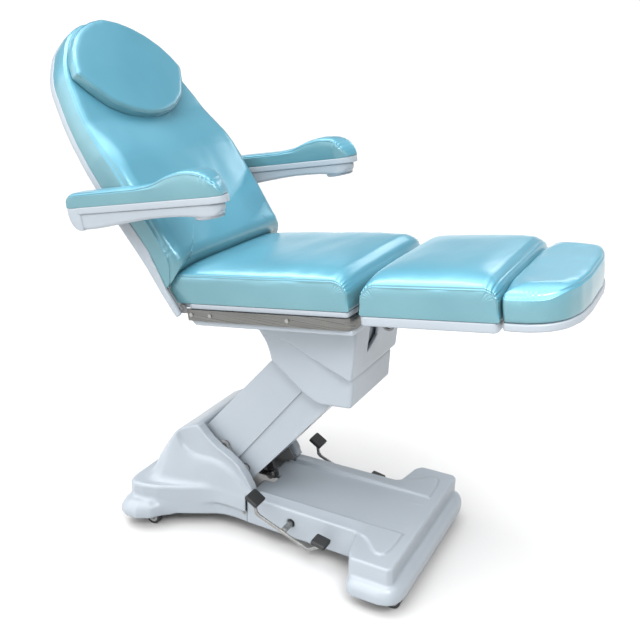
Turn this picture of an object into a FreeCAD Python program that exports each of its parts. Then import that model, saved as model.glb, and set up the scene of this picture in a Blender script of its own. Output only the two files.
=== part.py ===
import FreeCAD, Part
import Sketcher
import math
import os

# Electric facial bed: cushioned seat, reclining back, leg and foot sections
# on a parallel lift arm that stands on a moulded base with castors.
# +X points to the foot end, +Y across, +Z up; the origin is on the floor
# under the middle of the bed. Millimetres throughout.

V = FreeCAD.Vector
doc = FreeCAD.newDocument("facial_bed")

# ---------------------------------------------------------------- dimensions
SIZES = [
    ("x_offset", 0.0),
    # attitudes at rest, degrees
    ("seat_tilt", 7.0), ("leg_tilt", 7.3), ("back_angle", 53.0),
    ("arm_tilt", 9.75), ("lift_angle", 52.0),
    # reference points
    ("seat_ref_z", 851.3), ("leg_ref_x", 270.0), ("leg_ref_z", 876.0),
    ("back_ref_x", -267.0), ("back_ref_z", 780.0),
    ("arm_pin_x", -480.7), ("arm_pin_z", 1083.5),
    ("low_pin_x", -165.0), ("low_pin_z", 222.0),
    ("up_pin_x", -236.3), ("up_pin_z", 293.3),
    ("tilt_pin_x", 105.0), ("tilt_pin_z", 722.0),
    # cushions
    ("seat_width", 536.0), ("pad_depth", 97.0), ("seat_front", 270.0),
    ("leg_length", 392.0), ("leg_width", 534.0),
    ("foot_width", 524.0), ("foot_front", 566.0), ("foot_rear", 397.0),
    ("back_pad_base", 21.0), ("back_pad_depth", 94.0),
    ("pillow_base", 90.0), ("pillow_depth", 36.0),
    ("arm_width", 84.0), ("arm_centre", 368.0),
    # trays, shells and rails
    ("tray_depth", 15.0), ("rail_depth", 33.0), ("rail_thick", 4.0),
    ("rail_outer", 272.0), ("shell_wall", 4.0),
    ("leg_tray_depth", 24.0), ("foot_tray_depth", 19.0),
    # housings
    ("upper_housing_width", 330.0), ("lower_housing_width", 280.0),
    # lift arm
    ("arm_span", 470.0), ("lower_cover_width", 214.0), ("upper_cover_width", 226.0),
    ("arm_box_width", 120.0), ("arm_box_depth", 40.0), ("link_box_depth", 24.0),
    ("low_pin_r", 12.5), ("up_pin_r", 10.0), ("running_gap", 0.05),
    # base
    ("hood_half", 165.0), ("hood_gap_half", 129.0), ("cover_wall", 4.0),
    ("deck_top", 156.0), ("plinth_bottom", 45.0), ("plinth_top", 97.0),
    ("upright_in", 118.0), ("upright_thick", 8.0),
    # castors
    ("wheel_r", 27.5), ("tread_depth", 8.0), ("wheel_width", 20.0),
    ("castor_trail", 16.0), ("stem_r", 7.0), ("axle_r", 4.0),
    ("front_castor_x", 401.0), ("rear_castor_x", -467.0), ("castor_y", 240.0),
    # pedals and floor lock
    ("pedal_x", 33.0), ("pedal_z", 106.0), ("pedal_shaft_r", 10.0),
    ("pedal_bar_y", 206.0), ("pedal_bar_thick", 6.0),
    ("lock_x", 9.5), ("lock_rod_r", 9.0), ("lock_foot_r", 28.0),
    # actuators
    ("tube_r", 16.0), ("rod_r", 9.0), ("trunnion_r", 6.0), ("rod_gap", 0.4),
    ("open_pin_r", 5.5), ("open_hole_r", 14.0),
]
sheet = doc.addObject("Spreadsheet::Sheet", "dims")
S = {}
for row, (name, value) in enumerate(SIZES, start=1):
    sheet.set("A%d" % row, name)
    sheet.set("B%d" % row, str(value))
    sheet.setAlias("B%d" % row, name)
    S[name] = float(value)
doc.recompute()


class Q:
    """A length that knows its value and the sheet expression it comes from."""

    def __init__(self, value, text):
        self.v, self.e = value, text

    def _mix(self, other, op, f):
        o = other if isinstance(other, Q) else Q(float(other), repr(float(other)))
        return Q(f(self.v, o.v), "(%s %s %s)" % (self.e, op, o.e))

    def __add__(self, o):
        return self._mix(o, "+", lambda a, b: a + b)

    def __sub__(self, o):
        return self._mix(o, "-", lambda a, b: a - b)

    def __mul__(self, o):
        return self._mix(o, "*", lambda a, b: a * b)

    def __truediv__(self, o):
        return self._mix(o, "/", lambda a, b: a / b)

    def __neg__(self):
        return Q(-self.v, "(-%s)" % self.e)


def d(name):
    return Q(S[name], "dims.%s" % name)


def num(x):
    return x.v if isinstance(x, Q) else float(x)


def bind(obj, prop, x):
    setattr(obj, prop, num(x))
    if isinstance(x, Q):
        obj.setExpression(prop, x.e)


# ---------------------------------------------------------------- frames
XO = S["x_offset"]


def place(x, z, turn, y=0.0):
    return FreeCAD.Placement(V(x + XO, y, z), FreeCAD.Rotation(V(0, 1, 0), turn))


WORLD = place(0, 0, 0)
SEAT = place(0, S["seat_ref_z"], -S["seat_tilt"])
LEG = place(S["leg_ref_x"], S["leg_ref_z"], -S["leg_tilt"])
BACK = FreeCAD.Placement(
    V(S["back_ref_x"] + XO, 0, S["back_ref_z"]),
    FreeCAD.Rotation(V(0, 1, 0), S["back_angle"]).multiply(FreeCAD.Rotation(V(0, 0, 1), 180)),
)
LOWER = place(S["low_pin_x"], S["low_pin_z"], -S["lift_angle"])
UPPER = place(S["up_pin_x"], S["up_pin_z"], -S["lift_angle"])


def to_local(frame, x, z):
    """World x, z (before the offset) to a frame's own x, z."""
    p = frame.inverse().multVec(V(x + XO, 0, z))
    return p.x, p.z


# ---------------------------------------------------------------- builders
NODES = []
count = [0]


def uid(stem):
    count[0] += 1
    return "%s_%d" % (stem, count[0])


def node(obj, label):
    obj.Label = label
    NODES.append(obj)
    return obj


def plane_of(body, role):
    for f in body.Origin.OriginFeatures:
        if f.Role == role:
            return f
    raise ValueError(role)


def new_body(stem):
    return doc.addObject("PartDesign::Body", uid(stem))


def new_sketch(body, role, offset=0.0):
    sk = body.newObject("Sketcher::SketchObject", uid("sketch"))
    sk.AttachmentSupport = [(plane_of(body, role), "")]
    sk.MapMode = "FlatFace"
    if offset:
        sk.AttachmentOffset = FreeCAD.Placement(V(0, 0, offset), FreeCAD.Rotation())
    return sk


def polygon(sk, pts):
    first = sk.GeometryCount
    n = len(pts)
    flat = [(num(a), num(b)) for a, b in pts]
    for i in range(n):
        a, b = flat[i], flat[(i + 1) % n]
        sk.addGeometry(Part.LineSegment(V(a[0], a[1], 0), V(b[0], b[1], 0)), False)
    for i in range(n):
        sk.addConstraint(Sketcher.Constraint("Coincident", first + i, 2, first + (i + 1) % n, 1))
    for i, (a, b) in enumerate(pts):
        for kind, axis, val in (("DistanceX", -2, a), ("DistanceY", -1, b)):
            if abs(num(val)) < 1e-7:
                sk.addConstraint(Sketcher.Constraint("PointOnObject", first + i, 1, axis))
                continue
            k = sk.addConstraint(Sketcher.Constraint(kind, -1, 1, first + i, 1, num(val)))
            if isinstance(val, Q):
                sk.setExpression("Constraints[%d]" % k, val.e)


def ring(sk, x, y, r):
    g = sk.addGeometry(Part.Circle(V(num(x), num(y), 0), V(0, 0, 1), num(r)), False)
    for kind, axis, val in (("DistanceX", -2, x), ("DistanceY", -1, y)):
        if abs(num(val)) < 1e-7:
            sk.addConstraint(Sketcher.Constraint("PointOnObject", g, 3, axis))
        else:
            sk.addConstraint(Sketcher.Constraint(kind, -1, 1, g, 3, num(val)))
    k = sk.addConstraint(Sketcher.Constraint("Radius", g, num(r)))
    if isinstance(r, Q):
        sk.setExpression("Constraints[%d]" % k, r.e)


def pad(body, sk, length, symmetric=True, reverse=False):
    f = body.newObject("PartDesign::Pad", uid("pad"))
    f.Profile = sk
    bind(f, "Length", length)
    if symmetric:
        f.SideType = "Symmetric"
    f.Reversed = reverse
    sk.Visibility = False
    return f


def pocket(body, sk, length):
    f = body.newObject("PartDesign::Pocket", uid("pocket"))
    f.Profile = sk
    bind(f, "Length", length)
    f.SideType = "Symmetric"
    sk.Visibility = False
    return f


def prism(stem, pts, width, y=0.0, holes=(), inner=None, inner_width=None):
    """Side profile in X-Z, width in Y about y, with optional through holes and a pocket."""
    body = new_body(stem)
    sk = new_sketch(body, "XZ_Plane", -y)
    polygon(sk, pts)
    for hx, hz, hr in holes:
        ring(sk, hx, hz, hr)
    pad(body, sk, width)
    if inner:
        doc.recompute()
        before = body.Shape.Volume
        si = new_sketch(body, "XZ_Plane", -y)
        polygon(si, inner)
        pocket(body, si, inner_width)
        doc.recompute()
        if not body.Shape.Volume < before - 1.0:
            raise ValueError(stem + ": the pocket removed nothing")
    return body


def slab(stem, pts, z0, depth, holes=()):
    """Plan outline in X-Y, from z0 upward by depth."""
    body = new_body(stem)
    sk = new_sketch(body, "XY_Plane", z0)
    polygon(sk, pts)
    for hx, hy, hr in holes:
        ring(sk, hx, hy, hr)
    pad(body, sk, depth, symmetric=False)
    return body


def mirrored(half):
    """Close a plan outline given along +Y, from first to last point."""
    other = [(x, -y) for x, y in reversed(half) if abs(num(y)) > 1e-9]
    return list(half) + other


def block(x0, x1, y0, y1, z0, z1):
    b = doc.addObject("Part::Box", uid("block"))
    bind(b, "Length", x1 - x0 if isinstance(x1, Q) else num(x1) - num(x0))
    bind(b, "Width", y1 - y0 if isinstance(y1, Q) else num(y1) - num(y0))
    bind(b, "Height", z1 - z0 if isinstance(z1, Q) else num(z1) - num(z0))
    b.Placement = FreeCAD.Placement(V(num(x0), num(y0), num(z0)), FreeCAD.Rotation())
    return b


def round_y(x, z, r, y0, y1):
    c = doc.addObject("Part::Cylinder", uid("round"))
    bind(c, "Radius", r)
    c.Height = num(y1) - num(y0)
    c.Placement = FreeCAD.Placement(V(num(x), num(y0), num(z)), FreeCAD.Rotation(V(1, 0, 0), -90))
    return c


def round_z(x, y, r, z0, z1):
    c = doc.addObject("Part::Cylinder", uid("round"))
    bind(c, "Radius", r)
    c.Height = num(z1) - num(z0)
    c.Placement = FreeCAD.Placement(V(num(x), num(y), num(z0)), FreeCAD.Rotation())
    return c


def round_x(x0, x1, y, z, r):
    c = doc.addObject("Part::Cylinder", uid("round"))
    bind(c, "Radius", r)
    c.Height = num(x1) - num(x0)
    c.Placement = FreeCAD.Placement(V(num(x0), num(y), num(z)), FreeCAD.Rotation(V(0, 1, 0), 90))
    return c


def fuse(parts):
    if len(parts) == 1:
        return parts[0]
    f = doc.addObject("Part::MultiFuse", uid("fuse"))
    f.Shapes = parts
    f.Refine = True
    return f


def cut(base, tools):
    f = doc.addObject("Part::Cut", uid("cut"))
    f.Base = base
    f.Tool = fuse(tools)
    f.Refine = True
    return f


def group(parts):
    g = doc.addObject("Part::Compound", uid("group"))
    g.Links = parts
    return g


def both(make):
    return [make(-1), make(1)]


def span(side, a, b):
    """y limits of a feature between a and b on one side."""
    return (a, b) if side > 0 else (-b, -a)


# ================================================================ seat section
gap = d("running_gap")
sf = d("seat_front")
deep = d("pad_depth")

seat_cushion = prism("seat_cushion", [
    (-310, 2), (-313, 40), (-287, 82), (-255, deep), (sf - 32, deep), (sf - 6, 82), (sf, 55), (sf, 2),
], d("seat_width"))
seat_cushion.Placement = SEAT
node(seat_cushion, "seat_cushion")

seat_tray = slab("seat_tray", mirrored([
    (-300, 0), (-300, 254), (-245, 254), (-245, 266), (258, 266), (258, 0),
]), -d("tray_depth").v, d("tray_depth"))
seat_tray.Placement = SEAT
node(seat_tray, "seat_tray")

# flat stainless rails, turned in at the front corner
ro, rt = d("rail_outer"), d("rail_thick")
SCREW_U = (-236.0, -171.0, 84.0)
SCREW_W = -30.0


def rail(side):
    pts = [(-250, ro), (252, ro), (270, ro - 8), (279, ro - 26), (279, ro - 56),
           (279 - rt.v, ro - 56), (279 - rt.v, ro - 25), (268, ro - 11), (251, ro - rt), (-250, ro - rt)]
    pts = [(x, y if side > 0 else -y) for x, y in pts]
    if side < 0:
        pts = pts[::-1]
    b = slab("side_rail", pts, -(S["tray_depth"] + S["rail_depth"]), d("rail_depth"))
    y0, y1 = span(side, 266.0, 274.0)
    return cut(b, [round_y(u, SCREW_W, 3.3, y0, y1) for u in SCREW_U])


side_rails = group(both(rail))
side_rails.Placement = SEAT
node(side_rails, "side_rails")


def rail_screw(side, u):
    h0, h1 = span(side, 272.0, 275.0)
    s0, s1 = span(side, 252.0, 272.5)
    return fuse([round_y(u, SCREW_W, 6.0, h0, h1), round_y(u, SCREW_W, 3.0, s0, s1)])


rail_screws = group([rail_screw(s, u) for s in (-1, 1) for u in SCREW_U])
rail_screws.Placement = SEAT
node(rail_screws, "rail_screws")

# seat frame: two box rails, outriggers, hinge plates and actuator brackets
TU, TW = to_local(SEAT, S["tilt_pin_x"], S["tilt_pin_z"])
HX, HZ = -271.0, 802.0                       # back hinge
HU, HW = to_local(SEAT, HX, HZ)
KX, KZ = 290.0, 852.0                        # leg hinge
KU, KW = to_local(SEAT, KX, KZ)
BACK_P1, BACK_P2 = (150.0, 770.0), (-288.1, 738.2)
LEG_P1, LEG_P2 = (-60.0, 752.0), (294.2, 792.1)
TILT_P1, TILT_P2 = (163.0, 612.0), (176.0, 795.0)
LIFT_P1, LIFT_P2 = (-467.0, 150.0), (-137.0, 147.1)

frame_parts, frame_cuts = [], []
for s in (-1, 1):
    y0, y1 = span(s, 68.0, 96.0)
    frame_parts.append(block(-262, 262, y0, y1, -47, -17))
    for u0, u1 in ((-250, -160), (64, 104)):
        a, b = span(s, 96.0, 268.0)
        frame_parts.append(block(u0, u1, a, b, -47, -17))
        for u in SCREW_U:
            if u0 < u < u1:
                c0, c1 = span(s, 250.0, 269.0)
                frame_cuts.append(round_y(u, SCREW_W, 3.3, c0, c1))
    # back hinge plates
    a, b = span(s, 257.0, 266.0)
    frame_parts += [block(HU, -240, a, b, -29, -16), round_y(HU, HW, 13.0, a, b)]
    frame_cuts.append(round_y(HU, HW, 7.0 + gap.v, a - 1, b + 1))
    # tilt pivot lugs
    a, b = span(s, 100.0, 112.0)
    frame_parts += [block(TU - 19, TU + 19, a, b, TW, -20), round_y(TU, TW, 19.0, a, b)]
    a2, b2 = span(s, 95.0, 112.0)
    frame_parts.append(block(TU - 19, TU + 19, a2, b2, -47, -20))
    frame_cuts.append(round_y(TU, TW, d("up_pin_r") + gap, a - 1, b + 1))
    # leg hinge lugs
    a, b = span(s, 96.0, 104.0)
    frame_parts += [block(225, KU, a, b, KW - 12, KW + 12), round_y(KU, KW, 12.0, a, b)]
    frame_cuts.append(round_y(KU, KW, 8.0 + gap.v, a - 1, b + 1))
# tilt actuator cross bar and lug
PU, PW = to_local(SEAT, *TILT_P2)
frame_parts += [block(PU - 16, PU + 16, -69, 69, -47, -30),
                block(PU - 14, PU + 14, 10, 20, PW, -40), round_y(PU, PW, 20.0, 10, 20)]
frame_cuts.append(round_y(PU, PW, d("open_hole_r"), 9, 21))
# trunnion brackets of the back and leg actuators
for (px, pz), s in ((BACK_P1, 1), (LEG_P1, -1)):
    u, w = to_local(SEAT, px, pz)
    a, b = span(s, 68.0, 76.0)
    frame_parts += [block(u - 15, u + 15, a, b, w, -40), round_y(u, w, 15.0, a, b)]
    frame_cuts.append(round_y(u, w, d("trunnion_r") + gap, a - 1, b + 1))
seat_frame = cut(fuse(frame_parts), frame_cuts)
seat_frame.Placement = SEAT
node(seat_frame, "seat_frame")

# hinge pins of the back and the leg section, held in the seat frame
hinge_pins = group([round_y(HX, HZ, 7.0, *span(s, 256.0, 281.0)) for s in (-1, 1)]
                   + [round_y(KX, KZ, 8.0, *span(s, 95.0, 116.0)) for s in (-1, 1)])
hinge_pins.Placement = WORLD
node(hinge_pins, "seat_hinge_pins")

# upper housing: side skins, front wall with the slot for the leg actuator, side flanges
uw, wall = d("upper_housing_width"), d("shell_wall")
upper_shell = prism("upper_housing", [
    (-96, 782), (247, 824), (230, 634), (18, 707), (-35, 713),
], uw, inner=[(-140, 900), (249, 900), (225.5, 628), (0, 660), (-140, 690)], inner_width=uw - wall * 2)
upper_shell.Placement = WORLD
flange_parts = []
for s in (-1, 1):
    a, b = span(s, 158.0, 262.0)
    f = block(-250, 272, a, b, -66, -48)
    f.Placement = SEAT.multiply(f.Placement)
    flange_parts.append(f)
slot = block(200 + XO, 270 + XO, -68, -6, 705, 860)
upper_housing = cut(fuse([upper_shell] + flange_parts), [slot])
node(upper_housing, "upper_housing")

lw = d("lower_housing_width")
lower_housing = prism("lower_housing", [
    (-112, 790), (-88, 725), (-62, 688), (-48, 640), (60, 557), (121, 530), (221, 541), (225, 628), (222, 631), (222, 830.6),
], lw, inner=[(-150, 880), (-150, 480), (216, 480), (220.5, 627), (260, 632), (260, 880)],
    inner_width=lw - wall * 2)
lower_housing.Placement = WORLD
node(lower_housing, "lower_housing")

# ================================================================ back section
OUTLINE = [(138, 291), (172, 290), (235, 292), (300, 296), (400, 300), (500, 298), (580, 290), (650, 277),
           (718, 258), (767, 243), (805, 219), (835, 195), (869, 165), (912, 111), (934, 50), (941, 0)]

half = [(97, 0), (97, 292)] + OUTLINE
back_cushion = slab("back_cushion", mirrored([(s, y - 3 if y else 0) for s, y in half]),
                    S["back_pad_base"], d("back_pad_depth"))
doc.recompute()
sk = new_sketch(back_cushion, "XZ_Plane")
polygon(sk, [(80, 10), (130, 10), (130, 21), (97, 116), (80, 130)])
pocket(back_cushion, sk, 700)
doc.recompute()
sk = new_sketch(back_cushion, "XZ_Plane")
polygon(sk, [(470, 115), (560, 89), (980, 89), (980, 140), (470, 140)])
pocket(back_cushion, sk, 700)
back_cushion.Placement = BACK
node(back_cushion, "back_cushion")

# shallow tray behind the cushion, with two ears that reach down past the seat
tray_half = [(142, 0), (142, 291)] + OUTLINE[1:]
tray = slab("back_shell", mirrored(tray_half), 0, 20)
inside = [(s if s < 900 else s - 6, max(y - 5, 0)) for s, y in OUTLINE[1:]]
doc.recompute()
sk = new_sketch(tray, "XY_Plane", 12.5 + 5)
polygon(sk, mirrored([(100, 0), (100, 286)] + inside))
pocket(tray, sk, 25)
ears = []
for s in (-1, 1):
    a, b = span(s, 283.0, 296.0)
    ears += [block(8, 100, a, b, 0, 20), block(95, 146, *span(s, 283.0, 292.0), 0, 20)]
APS, APN = 371.0, 12.0                        # armrest pin
back_shell = cut(fuse([tray] + ears), [round_y(APS, APN, 7.4, -300, 300)])
back_shell.Placement = BACK
node(back_shell, "back_shell")

HS, HN = 20.0, 10.0
parts, cuts = [], []
for s in (-1, 1):
    a, b = span(s, 230.0, 256.0)
    parts.append(block(150, 690, a, b, 6, 19))
    a, b = span(s, 274.0, 280.0)
    parts += [round_y(HS, HN, 12.0, a, b), block(HS, 172, a, b, 5.2, 18)]
    parts.append(block(150, 172, *span(s, 255.0, 280.0), 6, 18))
    cuts.append(round_y(HS, HN, 7.0 + gap.v, a - 1, b + 1))
    a, b = span(s, 228.0, 404.0)
    parts.append(round_y(APS, APN, 7.0, a, b))
for s0 in (150, 360, 668):
    parts.append(block(s0, s0 + 22, -231, 231, 6, 19))
# crank of the back actuator, behind the seat's rear end
cs, cn = to_local(BACK, *BACK_P2)
for (s0, n0), (s1, n1), half_depth in (((cs, cn), (108.0, -9.0), 8.0), ((108.0, -9.0), (140.0, 12.0), 7.0)):
    length = math.hypot(s1 - s0, n1 - n0)
    turn = math.degrees(math.atan2(n1 - n0, s1 - s0))
    crank = block(0, length, 0, 10, -half_depth, half_depth)
    crank.Placement = FreeCAD.Placement(V(s0, -64, n0), FreeCAD.Rotation(V(0, 1, 0), -turn)).multiply(crank.Placement)
    parts.append(crank)
parts += [round_y(108, -9, 8.0, -64, -54), block(136, 160, -64, -54, 6.5, 18.5), round_y(cs, cn, 20.0, -64, -54)]
cuts.append(round_y(cs, cn, d("open_hole_r"), -65, -53))
back_frame = cut(fuse(parts), cuts)
back_frame.Placement = BACK
node(back_frame, "back_frame")

pillow = slab("pillow", mirrored([
    (926, 0), (915, 60), (894, 112), (866, 155), (826, 196), (782, 224), (748, 238), (736, 236), (692, 206),
    (640, 162), (607, 104), (592, 46), (588, 0),
]), S["pillow_base"], d("pillow_depth"))
pillow.Placement = BACK
node(pillow, "pillow")

# ================================================================ armrests
for s, word in ((1, "left"), (-1, "right")):
    frame = place(S["arm_pin_x"], S["arm_pin_z"], -S["arm_tilt"])
    yc = s * S["arm_centre"]
    shell = prism("armrest_shell", [
        (-55, 18.5), (-55, 4), (-44, -30), (-30, -42), (11, -45), (134, -34), (232, -26), (341, -27), (400, -35),
        (445, -35), (465, -22), (475, 2), (475, 18.5),
    ], d("arm_width"), y=yc, holes=[(0, 0, 7.0 + gap.v)],
        inner=[(24, 30), (24, -40), (134, -30), (232, -22), (341, -23), (400, -31), (444, -31), (461, -20), (471, 3), (471, 30)],
        inner_width=d("arm_width") - 8)
    shell.Placement = frame
    node(shell, "armrest_shell_" + word)
    cushion = prism("armrest_pad", [
        (-56, 19.5), (-55, 42), (-42, 58), (60, 58), (200, 58), (262, 65), (310, 79), (360, 87), (400, 82), (430, 70),
        (455, 46), (465, 19.5),
    ], d("arm_width") - 2, y=yc)
    cushion.Placement = frame
    node(cushion, "armrest_pad_" + word)

# ================================================================ leg and foot sections
ll = d("leg_length")
leg_cushion = prism("leg_cushion", [
    (26, 2), (24, 45), (36, 76), (60, deep), (ll - 28, deep), (ll - 8, 84), (ll, 55), (ll - 2, 2),
], d("leg_width"))
leg_cushion.Placement = LEG
node(leg_cushion, "leg_cushion")

lt = d("leg_tray_depth")
tray = slab("leg_shell", mirrored([(26, 0), (26, 266), (386, 266), (386, 0)]), -lt.v, lt)
doc.recompute()
sk = new_sketch(tray, "XY_Plane", -8)
polygon(sk, mirrored([(-10, 0), (-10, 262), (382, 262), (382, 0)]))
pocket(tray, sk, 24)
doc.recompute()
sk = new_sketch(tray, "XY_Plane", -22)
polygon(sk, mirrored([(0, 0), (0, 120), (70, 120), (70, 0)]))
pocket(tray, sk, 10)
doc.recompute()
leg_shell = cut(tray, [round_x(370, 400, y, -10, 6.6) for y in (-150, 150)])
leg_shell.Placement = LEG
node(leg_shell, "leg_shell")

ku, kw = to_local(LEG, KX, KZ)
pu, pw = to_local(LEG, *LEG_P2)
parts, cuts = [], []
for s in (-1, 1):
    a, b = span(s, 106.0, 130.0)
    parts.append(block(20, 330, a, b, -19, -1))
    a, b = span(s, 106.0, 114.0)
    parts += [round_y(ku, kw, 12.0, a, b), block(ku - 4, 40, a, b, kw, -10)]
    cuts.append(round_y(ku, kw, 8.0 + gap.v, a - 1, b + 1))
    parts.append(round_x(180, 380, s * 150.0, -10, 9.0))
    cuts.append(round_x(170, 390, s * 150.0, -10, 6.05))
    parts.append(block(190, 215, *span(s, 128.0, 142.5), -16, -4))
    parts.append(block(300, 325, *span(s, 128.0, 142.5), -16, -4))
parts += [block(34, 62, -107, 107, -19, -1), block(300, 325, -107, 107, -19, -1)]
length = math.hypot(44 - pu, -12 - pw)
turn = math.degrees(math.atan2(-12 - pw, 44 - pu))
crank = block(0, length, 0, 10, -11, 11)
crank.Placement = FreeCAD.Placement(V(pu, -64, pw), FreeCAD.Rotation(V(0, 1, 0), -turn)).multiply(crank.Placement)
parts += [crank, round_y(pu, pw, 20.0, -64, -54)]
cuts.append(round_y(pu, pw, d("open_hole_r"), -65, -53))
leg_frame = cut(fuse(parts), cuts)
leg_frame.Placement = LEG
node(leg_frame, "leg_frame")

fw, ff, fr = d("foot_width"), d("foot_front"), d("foot_rear")
foot_half = [(fr, 0), (fr, fw / 2 - 1), (452, fw / 2), (496, fw / 2 - 11), (538, fw / 2 - 44), (ff - 9, fw / 2 - 106), (ff - 2, 70), (ff, 0)]
foot_cushion = slab("foot_cushion", mirrored(foot_half), 2, 88)
foot_cushion.Placement = LEG
node(foot_cushion, "foot_cushion")
ft = d("foot_tray_depth")
foot_tray = slab("foot_shell", mirrored(foot_half), -ft.v, ft + 0.5)
foot_shell = cut(foot_tray, [round_x(380, 440, y, -10, 6.05) for y in (-150, 150)])
foot_shell.Placement = LEG
node(foot_shell, "foot_shell")
foot_rods = group([round_x(190, 438, y, -10, 6.0) for y in (-150, 150)])
foot_rods.Placement = LEG
node(foot_rods, "foot_guide_rods")

# ================================================================ lift arm and level link
L = d("arm_span")
aw, ad, bd = d("arm_box_width"), d("arm_box_depth"), d("link_box_depth")
lr, ur = d("low_pin_r"), d("up_pin_r")
kt, km = to_local(LOWER, *LIFT_P2)
crank_len = math.hypot(kt, km)
crank = block(0, crank_len, 10, 20, -14, 14)
crank.Placement = FreeCAD.Placement(
    V(0, 0, 0), FreeCAD.Rotation(V(0, 1, 0), -math.degrees(math.atan2(km, kt)))).multiply(crank.Placement)
lift_arm = cut(
    fuse([block(0, L, -60, 60, -20, 20), round_y(0, 0, 22.0, -100, 100), round_y(L, 0, 22.0, -100, 100),
          crank, round_y(kt, km, 20.0, 10, 20)]),
    [block(24, L - 24, -55, 55, -15, 15), round_y(0, 0, lr + gap, -110, 110), round_y(L, 0, lr + gap, -110, 110),
     round_y(kt, km, d("open_hole_r"), 9, 21)])
lift_arm.Placement = LOWER
node(lift_arm, "lift_arm")

level_link = cut(
    fuse([block(0, L, -60, 60, -12, 12), round_y(0, 0, 16.0, -100, 100), round_y(L, 0, 16.0, -100, 100)]),
    [block(20, L - 20, -56, 56, -8, 8), round_y(0, 0, ur + gap, -110, 110), round_y(L, 0, ur + gap, -110, 110)])
level_link.Placement = UPPER
node(level_link, "level_link")

cw = d("lower_cover_width")
lower_cover = prism("lower_arm_cover", [
    (-36, -28), (-22, -39), (440, -57), (440, 45), (-36, 45),
], cw, inner=[(-60, -33.5), (460, -53.8), (460, 60), (-60, 60)], inner_width=cw - wall * 2)
doc.recompute()
sk = new_sketch(lower_cover, "XZ_Plane")
polygon(sk, [(-60, -70), (16, -70), (16, -24), (-60, -24)])
pocket(lower_cover, sk, cw - 20)
doc.recompute()
sk = new_sketch(lower_cover, "XZ_Plane")
ring(sk, 0, 0, lr + 2)
pocket(lower_cover, sk, 400)
lower_cover.Placement = LOWER
node(lower_cover, "lower_arm_cover")

cw = d("upper_cover_width")
upper_cover = prism("upper_arm_cover", [
    (-36, -60), (456, -66), (456, 52), (447, 61.5), (262, 73), (-22, 90), (-34, 80),
], cw, inner=[(-60, -90), (480, -90), (480, 55.5), (262, 69), (-60, 88.3)], inner_width=cw - wall * 2 + 1)
doc.recompute()
sk = new_sketch(upper_cover, "XZ_Plane")
ring(sk, 0, 0, ur + 2)
pocket(upper_cover, sk, 400)
upper_cover.Placement = UPPER
node(upper_cover, "upper_arm_cover")

CX, CZ = S["up_pin_x"] + S["arm_span"] * math.cos(math.radians(S["lift_angle"])), \
    S["up_pin_z"] + S["arm_span"] * math.sin(math.radians(S["lift_angle"]))
DX, DZ = S["low_pin_x"] + S["arm_span"] * math.cos(math.radians(S["lift_angle"])), \
    S["low_pin_z"] + S["arm_span"] * math.sin(math.radians(S["lift_angle"]))
TX, TZ = S["tilt_pin_x"], S["tilt_pin_z"]
ui, ut = S["upright_in"], S["upright_thick"]
parts = []
for s in (-1, 1):
    parts.append(prism("head_plate", [
        (82, 745), (128, 745), (152, 680), (178, 600), (178, 572), (112, 563), (28, 640), (34, 690),
    ], d("upright_thick"), y=s * (ui + ut / 2),
        holes=[(CX, CZ, ur + gap), (DX, DZ, lr + gap), (TX, TZ, ur + gap)]))
parts += [block(151, 176, -ui - 1, ui + 1, 578, 594)]
cuts = []
for s in (-1, 1):
    a, b = span(s, 19.0, 27.0)
    parts += [block(TILT_P1[0] - 12, TILT_P1[0] + 12, a, b, 590, TILT_P1[1]),
              round_y(TILT_P1[0], TILT_P1[1], 12.0, a, b)]
    cuts.append(round_y(TILT_P1[0], TILT_P1[1], d("trunnion_r") + gap, a - 1, b + 1))
head_bracket = cut(fuse(parts), cuts)
head_bracket.Placement = WORLD
node(head_bracket, "head_bracket")

pin_half = ui + ut + 2
head_pins = group([round_y(CX, CZ, ur, -pin_half, pin_half), round_y(DX, DZ, lr, -pin_half, pin_half)]
                  + [round_y(TX, TZ, ur, *span(s, 99.0, pin_half)) for s in (-1, 1)])
head_pins.Placement = WORLD
node(head_pins, "head_pivot_pins")


# ================================================================ actuators
def actuator(label, p1, p2, yc, tube_to, rod_from, pin_side, trunnion, motor):
    """Tube with motor block on a trunnion at p1; rod to an eye at p2 with an open side pin."""
    length = math.hypot(p2[0] - p1[0], p2[1] - p1[1])
    turn = math.degrees(math.atan2(p2[1] - p1[1], p2[0] - p1[0]))
    frame = place(p1[0], p1[1], -turn, y=yc)
    m0, m1, mz0, mz1 = motor
    body = fuse([round_x(0, tube_to, 0, 0, d("tube_r")), block(m0, m1, -17, 17, mz0, mz1),
                 round_y(0, 0, d("trunnion_r"), *trunnion)])
    bore = round_x(rod_from, tube_to + 5, 0, 0, d("rod_r") + d("rod_gap"))
    body = cut(body, [bore])
    body.Placement = frame
    node(body, label)
    reach = rod_from[1] if isinstance(rod_from, tuple) else rod_from
    return frame, length, reach


def actuator_pair(label, p1, p2, yc, tube_to, bore_from, rod_from, trunnion, motor, side):
    frame, length, _ = actuator(label, p1, p2, yc, tube_to, bore_from, side, trunnion, motor)
    a, b = (8.0, 22.0) if side > 0 else (-22.0, -8.0)
    rod = fuse([round_x(rod_from, length, 0, 0, d("rod_r")), round_y(length, 0, 13.0, -8, 8),
                round_y(length, 0, d("open_pin_r"), a - 0.5 if side > 0 else a, b if side > 0 else b + 0.5)])
    rod.Placement = frame
    node(rod, label + "_rod")


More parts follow.
